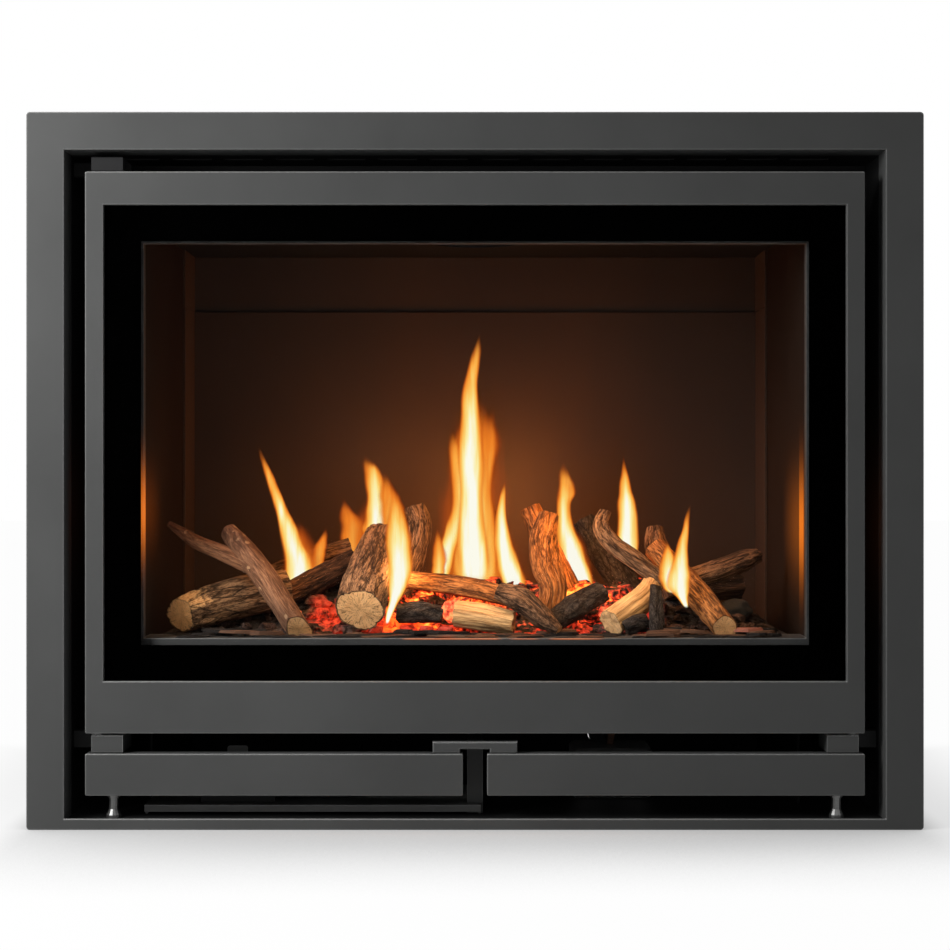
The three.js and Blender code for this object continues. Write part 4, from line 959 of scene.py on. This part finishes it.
hot_coal = Finish("hot coal", Roughness=0.95, Specular_IOR_Level=0.1, Emission_Strength=2.4)
hot_crack = hot_coal.speckle(hot_coal.place(), 190, 4, 0.6)
hot_coal.feed("Base Color", hot_coal.ramp(
    hot_crack, (0.4, (0.05, 0.02, 0.015)), (0.6, (0.12, 0.06, 0.05)),
))
hot_coal.feed("Emission Color", hot_coal.ramp(
    hot_crack, (0.36, (0.16, 0.008, 0.004)), (0.48, (0.6, 0.055, 0.02)), (0.62, (1.0, 0.2, 0.06)),
))
hot_coal.bump(hot_crack, 0.0012)
hot_coals = bmesh.new()
for number, (across, depth, height, size) in enumerate((
    (-0.0205, 0.093, 0.1845, 0.0162), (-0.004, 0.1, 0.181, 0.009),
    (-0.163, 0.085, 0.181, 0.008), (0.118, 0.1, 0.182, 0.008),
)):
    place = Vector((across, front + depth, height))
    sizes = (size * 1.1, size, size * 1.2)
    add_lump(hot_coals, place, sizes, turned(0.7 * number, 0.3), number + 40, 0.25)
piece("hot_coals", hot_coals, hot_coal, smooth=False)


# --- Slate and bark chips ---
# Loose flat chips on the sill in front of the logs, some slate grey and some bark brown. They
# lie in three low layers, and thin and flat where a log's foot stands on the sill.

def add_chip(shape, place, length, width, thickness, turn, seed):
    made = bmesh.ops.create_circle(shape, cap_ends=True, segments=9, radius=0.5)["verts"]
    for vert in made:
        vert.co *= 1 + 0.45 * noise.noise(vert.co * 2.3 + Vector((seed * 1.7, seed, 0)))
    grown = bmesh.ops.extrude_face_region(shape, geom=[made[0].link_faces[0]])["geom"]
    top = [item for item in grown if isinstance(item, bmesh.types.BMVert)]
    for vert in top:
        bulge = 0.4 * noise.noise(vert.co * 3 + Vector((seed, 0, 0)))
        vert.co = Vector((vert.co.x * 0.9, vert.co.y * 0.86, 1 + bulge))
    for vert in made + top:
        scaled = Vector((vert.co.x * length, vert.co.y * width, vert.co.z * thickness))
        vert.co = turn @ scaled + place


chips = {"grey": bmesh.new(), "brown": bmesh.new()}
chip_gap = 0.0002
chip_step = 0.0016
flat_chip = 0.0012
# The middle and half width of each log's foot, across the sill.
log_feet = (
    (-0.268, 0.012), (-0.158, 0.013), (-0.104, 0.024), (0.032, 0.024), (0.124, 0.016),
    (0.225, 0.016),
)
for number in range(96):
    length = chance.uniform(0.016, 0.044)
    across = chance.uniform(-0.262, 0.268)
    depth = chance.uniform(0.034, 0.074)
    level = chip_gap + chip_step * (number % 3)
    colour = "brown" if chance.random() < 0.3 + across else "grey"
    turn = turned(chance.uniform(-0.5, 0.5), chance.uniform(-0.05, 0.05), "Y")
    width = chance.uniform(0.007, 0.014)
    thickness = chance.uniform(0.0016, 0.0034)
    if any(abs(across - foot) < reach + 0.45 * length for foot, reach in log_feet):
        level, thickness = chip_gap, flat_chip
    place = Vector((across, front + depth, sill_top + level))
    add_chip(chips[colour], place, length, width, thickness, turn, number)
for colour, finish in (
    ("grey", sheet_paint("slate chips", (0.016, 0.014, 0.013), 0.8, 0.1, 260, 60, 0.0005)),
    ("brown", sheet_paint("brown chips", (0.11, 0.062, 0.041), 0.85, 0.1, 240, 60, 0.0005)),
):
    piece("chips_" + colour, chips[colour], finish, smooth=False)


# --- Loose chunks ---
# A rounded stone, a dark chunk of wood over it, a flat reddish plate and two charred pieces
# that lie between the logs, all of the same moulded ceramic.

pebble = bmesh.new()
bmesh.ops.create_icosphere(pebble, subdivisions=4, radius=1)
stone_place = Vector((0.242, front + 0.125, sill_top + 0.0185))
stone_size = (0.0155, 0.013, 0.0105)
for vert in pebble.verts:
    dent = 1 + 0.22 * noise.noise(vert.co * 1.6 + Vector((5, 2, 8)))
    vert.co = Vector([part * size * dent for part, size in zip(vert.co, stone_size)]) + stone_place
stone = sheet_paint("grey stone", (0.027, 0.028, 0.029), 0.8, 0.12, 420, 90, 0.0004)
piece("grey_stone", pebble, stone)

plate = bmesh.new()
plate_place = Vector((0.241, front + 0.062, sill_top + 0.0035))
add_chip(plate, plate_place, 0.03, 0.02, 0.003, turned(-0.2, 0), 5)
rust = sheet_paint("reddish plate", (0.24, 0.1, 0.075), 0.8, 0.1, 260, 50, 0.0005)
piece("red_plate", plate, rust, smooth=False)

chunks = (
    ("dark_chunk_right", "burnt", "split", 0.08, {"flat": 0.7}, (
        (660, 300, 100, 50), (740, 310, 100, 55), (845, 330, 105, 50),
    )),
    ("charred_chunk_centre", "char", "char", 0.12, {}, (
        (-240, 200, 45, 36), (-170, 190, 52, 42), (-100, 185, 45, 34),
    )),
    ("charred_chunk_right", "char", "char", 0.14, {}, (
        (455, 90, 18, 28), (490, 95, 30, 36), (525, 100, 36, 28),
    )),
)
for seed, (name, bark, kind, ridges, others, limb) in enumerate(chunks, start=21):
    add_log(
        name, bark, kind, seed, ridges, limb, slot="char_ceramic", sides=60, rings=30, **others,
    )


# --- Flames ---
# Tongues of burning gas over the bed: thin lens-shaped bodies that are white-yellow inside,
# orange at their edges and clear at their tips.

flame = Finish(
    "flame", Base_Color=(0, 0, 0), Roughness=1.0, Specular_IOR_Level=0.0, Emission_Strength=1.07,
)
edge, rise, warmth = (flame.attribute(name, "Fac") for name in ("edge", "rise", "warmth"))
wisp = flame.speckle(flame.place((1, 1, 0.09)), 130, 3)
cooling = 1.08 - 0.25 * rise - 0.75 * rise ** 2.6
body_heat = ((1 - edge ** 1.9) * cooling + (wisp - 0.5) * 0.75) * warmth
flame.feed("Emission Color", flame.ramp(
    body_heat, (0.0, (0.3, 0.025, 0.003)), (0.2, (0.55, 0.09, 0.008)), (0.38, (0.88, 0.23, 0.02)),
    (0.54, (1.0, 0.42, 0.06)), (0.7, (1.0, 0.66, 0.16)), (0.84, (1.0, 0.88, 0.4)),
    (0.98, (1.0, 0.99, 0.86)),
))
clear = (1 - edge ** 3) * rise.within(1.02, 0.6) * rise.within(0.0, 0.08)
flame.feed("Alpha", (clear * (0.04 + 1.35 * body_heat)).within(0.0, 0.62, 0, 0.97))

# Each tongue has a depth behind the surround's face, in metres, a warmth, and rows from its foot
# to its tip: height, left and right side in the picture, in pixels.
tongues = (
    (0.17, 1.0, (
        (588, 289, 300), (575, 286, 313), (559, 285, 310), (542, 282, 302), (526, 279, 296),
        (510, 275, 288), (493, 270, 281), (477, 265, 275), (464, 261, 268), (452, 258, 263),
        (442, 257, 259),
    )),
    (0.175, 0.3, (
        (584, 284, 326), (560, 283, 322), (535, 285, 312), (515, 290, 300),
    )),
    (0.19, 0.56, (
        (578, 310, 322), (559, 311, 325), (546, 314, 327), (536, 320, 328), (524, 326, 328),
    )),
    (0.24, 0.5, (
        (572, 346, 362), (556, 344, 363), (540, 341, 365), (524, 340, 366), (511, 340, 354),
        (503, 341, 348), (494, 341, 343),
    )),
    (0.235, 0.24, (
        (560, 346, 408), (530, 348, 404), (500, 366, 398), (478, 378, 390),
    )),
    (0.2, 0.93, (
        (560, 366, 398), (537, 364, 392), (526, 363, 391), (514, 365, 389), (497, 367, 386),
        (481, 365, 384), (469, 362, 380), (461, 360, 373), (450, 363, 366),
    )),
    (0.185, 0.62, (
        (562, 381, 410), (538, 382, 410), (520, 381, 408), (505, 380, 404), (492, 379, 398),
        (479, 380, 391), (467, 381, 385),
    )),
    (0.085, 1.08, (
        (625, 385, 388), (614, 386, 393), (601, 389, 399), (589, 389, 406), (574, 389, 411),
        (557, 387, 412), (541, 385, 411), (525, 385, 408), (509, 387, 403), (494, 389, 397),
        (482, 391, 393),
    )),
    (0.24, 0.27, (
        (592, 424, 532), (565, 428, 524), (535, 432, 512), (500, 440, 508), (460, 444, 506),
        (420, 452, 500), (385, 460, 490),
    )),
    (0.225, 0.72, (
        (588, 452, 502), (554, 452, 497), (524, 453, 495), (500, 454, 490), (470, 450, 490),
        (445, 452, 495), (425, 458, 492), (405, 463, 486), (388, 468, 478),
    )),
    (0.205, 0.86, (
        (584, 431, 446), (566, 434, 452), (550, 438, 456), (530, 446, 464), (510, 451, 468),
        (489, 452, 468), (469, 450, 467), (448, 448, 463), (436, 448, 457), (427, 450, 452),
    )),
    (0.21, 0.6, (
        (586, 482, 497), (554, 480, 498), (530, 479, 496), (510, 478, 494), (489, 476, 492),
        (469, 475, 494), (452, 475, 499), (436, 477, 500), (422, 480, 498), (411, 489, 497),
        (396, 493, 495),
    )),
    (0.19, 1.05, (
        (586, 460, 489), (555, 458, 488), (524, 459, 485), (493, 460, 483), (463, 459, 484),
        (436, 460, 482), (416, 460, 479), (397, 461, 478), (381, 464, 478), (365, 468, 480),
        (350, 472, 482), (338, 477, 481), (328, 479, 480),
    )),
    (0.195, 0.66, (
        (578, 431, 443), (566, 432, 446), (554, 432, 446), (540, 434, 443), (525, 436, 438),
    )),
    (0.18, 1.05, (
        (590, 506, 527), (571, 499, 522), (554, 496, 516), (534, 495, 510), (514, 496, 506),
        (497, 499, 506), (487, 502, 506), (477, 505, 506),
    )),
    (0.2, 0.36, (
        (595, 566, 598), (572, 562, 593), (545, 560, 586), (520, 560, 576),
    )),
    (0.19, 1.02, (
        (592, 580, 595), (573, 567, 591), (559, 560, 586), (544, 557, 581), (530, 556, 575),
        (516, 556, 571), (503, 556, 571), (494, 557, 575), (485, 558, 574), (475, 558, 570),
        (466, 560, 567), (457, 563, 565),
    )),
    (0.2, 0.97, (
        (556, 630, 638), (544, 618, 638), (526, 618, 637), (512, 618, 637), (501, 618, 635),
        (491, 619, 632), (480, 620, 630), (469, 621, 627), (457, 622, 625), (446, 622, 624),
    )),
    (0.056, 1.0, (
        (609, 685, 689), (598, 677, 688), (587, 668, 689), (576, 667, 690), (566, 670, 689),
        (555, 674, 688), (544, 677, 688), (530, 682, 689), (519, 684, 690), (509, 687, 691),
        (499, 690, 691),
    )),
    (0.058, 0.92, (
        (594, 668, 684), (580, 660, 682), (569, 659, 678), (555, 662, 674), (548, 664, 671),
        (537, 666, 667),
    )),
)
picture_middle = 475
pixel = 0.0008686
swell = 1.22
for number, (depth, tongue_warmth, rows) in enumerate(tongues):
    shape = bmesh.new()
    edge_layer, rise_layer, warmth_layer = (
        shape.verts.layers.float.new(layer) for layer in ("edge", "rise", "warmth")
    )
    bmesh.ops.create_cone(shape, cap_ends=True, segments=32, radius1=1, radius2=1, depth=1)
    cut_across(shape, shape.edges, 2, 71)
    rows = [Vector(row) for row in rows]
    spread = pixel * (camera_distance + depth) / camera_distance
    for vert in shape.verts:
        along = vert.co.z + 0.5
        angle = math.atan2(vert.co.y, vert.co.x)
        height, left, right = route_point(rows, along)
        half = max(0.5 * (right - left), 0.4) * spread * swell
        flicker = noise.noise(Vector((number * 3.1, math.copysign(4, vert.co.x), along * 7)))
        vert[edge_layer] = abs(math.cos(angle))
        vert[rise_layer] = along
        vert[warmth_layer] = tongue_warmth
        middle = (0.5 * (left + right) - picture_middle) * spread
        vert.co = Vector((
            middle + half * (1 + 0.16 * flicker) * math.cos(angle),
            front + depth + 0.4 * half * math.sin(angle),
            camera_height + (picture_middle - height) * spread,
        ))
    piece(f"flame_{number + 1:02d}", shape, flame)


# --- Floor and light ---
# A plain pale floor under the fire with a painted contact shadow before its foot, soft light from
# the upper left and an even white surround.
# Small orange lamps among the flames light the logs, the liners and the sill.

floor_shape = bmesh.new()
bmesh.ops.create_grid(floor_shape, x_segments=1, y_segments=1, size=12)
floor_mesh = bpy.data.meshes.new("floor")
floor_shape.to_mesh(floor_mesh)
floor_shape.free()
floor = put("floor", floor_mesh)
floor_finish = Finish(
    "pale floor", Base_Color=(0.86, 0.86, 0.86), Roughness=0.9, Specular_IOR_Level=0.1,
)


def direct_rays(owner):
    """One for the rays that come from the camera, a mirror or a glass, and zero for the others."""
    kinds = ("Camera", "Glossy", "Transmission")
    first, second, third = (
        owner.node("ShaderNodeLightPath", output=f"Is {kind} Ray") for kind in kinds
    )
    return first + second + third


half_width = 0.39
half_depth = 0.2
here = floor_finish.here()
beside = here.axis("X").size() - half_width
away = beside.most(here.axis("Y").size() - half_depth)
# Painted shadow: ambient occlusion darkens the floor's glow in front of the fire, and the glow
# stays white beside it.
painted_contact_shadow = floor_finish.node(
    "ShaderNodeAmbientOcclusion", {"samples": 8}, {"Distance": 0.3}, "Color",
)
painted_contact_shadow = floor_finish.blend(beside.within(-0.01, 0.03), painted_contact_shadow, (1.0, 1.0, 1.0))
mixed = floor_finish.node("ShaderNodeMixShader", None, {
    0: away.within(0.0, 0.2, 0.7, 0.98) * direct_rays(floor_finish),
    1: Value(floor_finish, floor_finish.shader.outputs[0]),
    2: floor_finish.node("ShaderNodeEmission", None, {"Color": painted_contact_shadow, "Strength": 1.0}),
})
floor_finish.fill(floor_finish.tree.nodes["Material Output"].inputs["Surface"], mixed)
floor_mesh.materials.append(floor_finish.material)

ambient = 0.11
world = bpy.data.worlds.new("world")
bpy.context.scene.world = world
world.use_nodes = True
sky = Nodes(world.node_tree)
background = sky.tree.nodes["Background"]
sky.fill(background.inputs["Color"], (1, 1, 1, 1))
sky.fill(background.inputs["Strength"], direct_rays(sky).within(0, 1, ambient, 1.0))


def lamp(name, kind, place, power, colour, **settings):
    data = bpy.data.lights.new(name, kind)
    for setting, value in {"energy": power, "color": colour, **settings}.items():
        setattr(data, setting, value)
    made = put(name, data)
    made.location = place
    made.visible_camera = False
    return made


def soft_light(name, place, target, width, height, power, colour=(1, 1, 1), spread=180):
    made = lamp(
        name, "AREA", place, power, colour,
        shape="RECTANGLE", size=width, size_y=height, spread=math.radians(spread),
    )
    aim = Vector(target) - Vector(place)
    made.rotation_euler = aim.to_track_quat("-Z", "Y").to_euler()


def fire_light(name, across, depth, height, power, colour=(1, 0.42, 0.12), radius=0.03):
    place = (across, front + depth, height)
    made = lamp(name, "POINT", place, power, colour, shadow_soft_size=radius)
    made.visible_glossy = False


soft_light("key_left", (-0.9, -0.75, 0.75), (-0.1, -0.2, 0.35), 0.5, 0.5, 14.5)
soft_light(
    "fire_top", (0, front + 0.05, 0.5), (0, front + 0.2, 0.2), 0.42, 0.04, 0.6, (1, 0.4, 0.11), 80,
)
soft_light(
    "fire_fill", (0, front + 0.02, 0.235), (0, front + 0.12, 0.17), 0.54, 0.05, 0.17,
    (1, 0.7, 0.42), 110,
)
fire_light("fire_centre", 0.02, 0.28, 0.29, 1.3, (1, 0.36, 0.075))
fire_light("fire_wall", -0.09, 0.27, 0.33, 0.3, (1, 0.5, 0.24))
fire_light("fire_left", -0.165, 0.13, 0.225, 0.12)
fire_light("fire_log", -0.068, 0.095, 0.22, 0.2, (1, 0.46, 0.16), 0.012)
fire_light("fire_log_end", -0.085, 0.035, 0.225, 0.022, (1, 0.6, 0.3), 0.01)
fire_light("fire_log_right", 0.075, 0.1, 0.272, 0.14, (1, 0.47, 0.13), 0.012)
fire_light("fire_right", 0.085, 0.17, 0.25, 0.42, (1, 0.38, 0.09))
fire_light("fire_far_right", 0.19, 0.12, 0.235, 0.1)
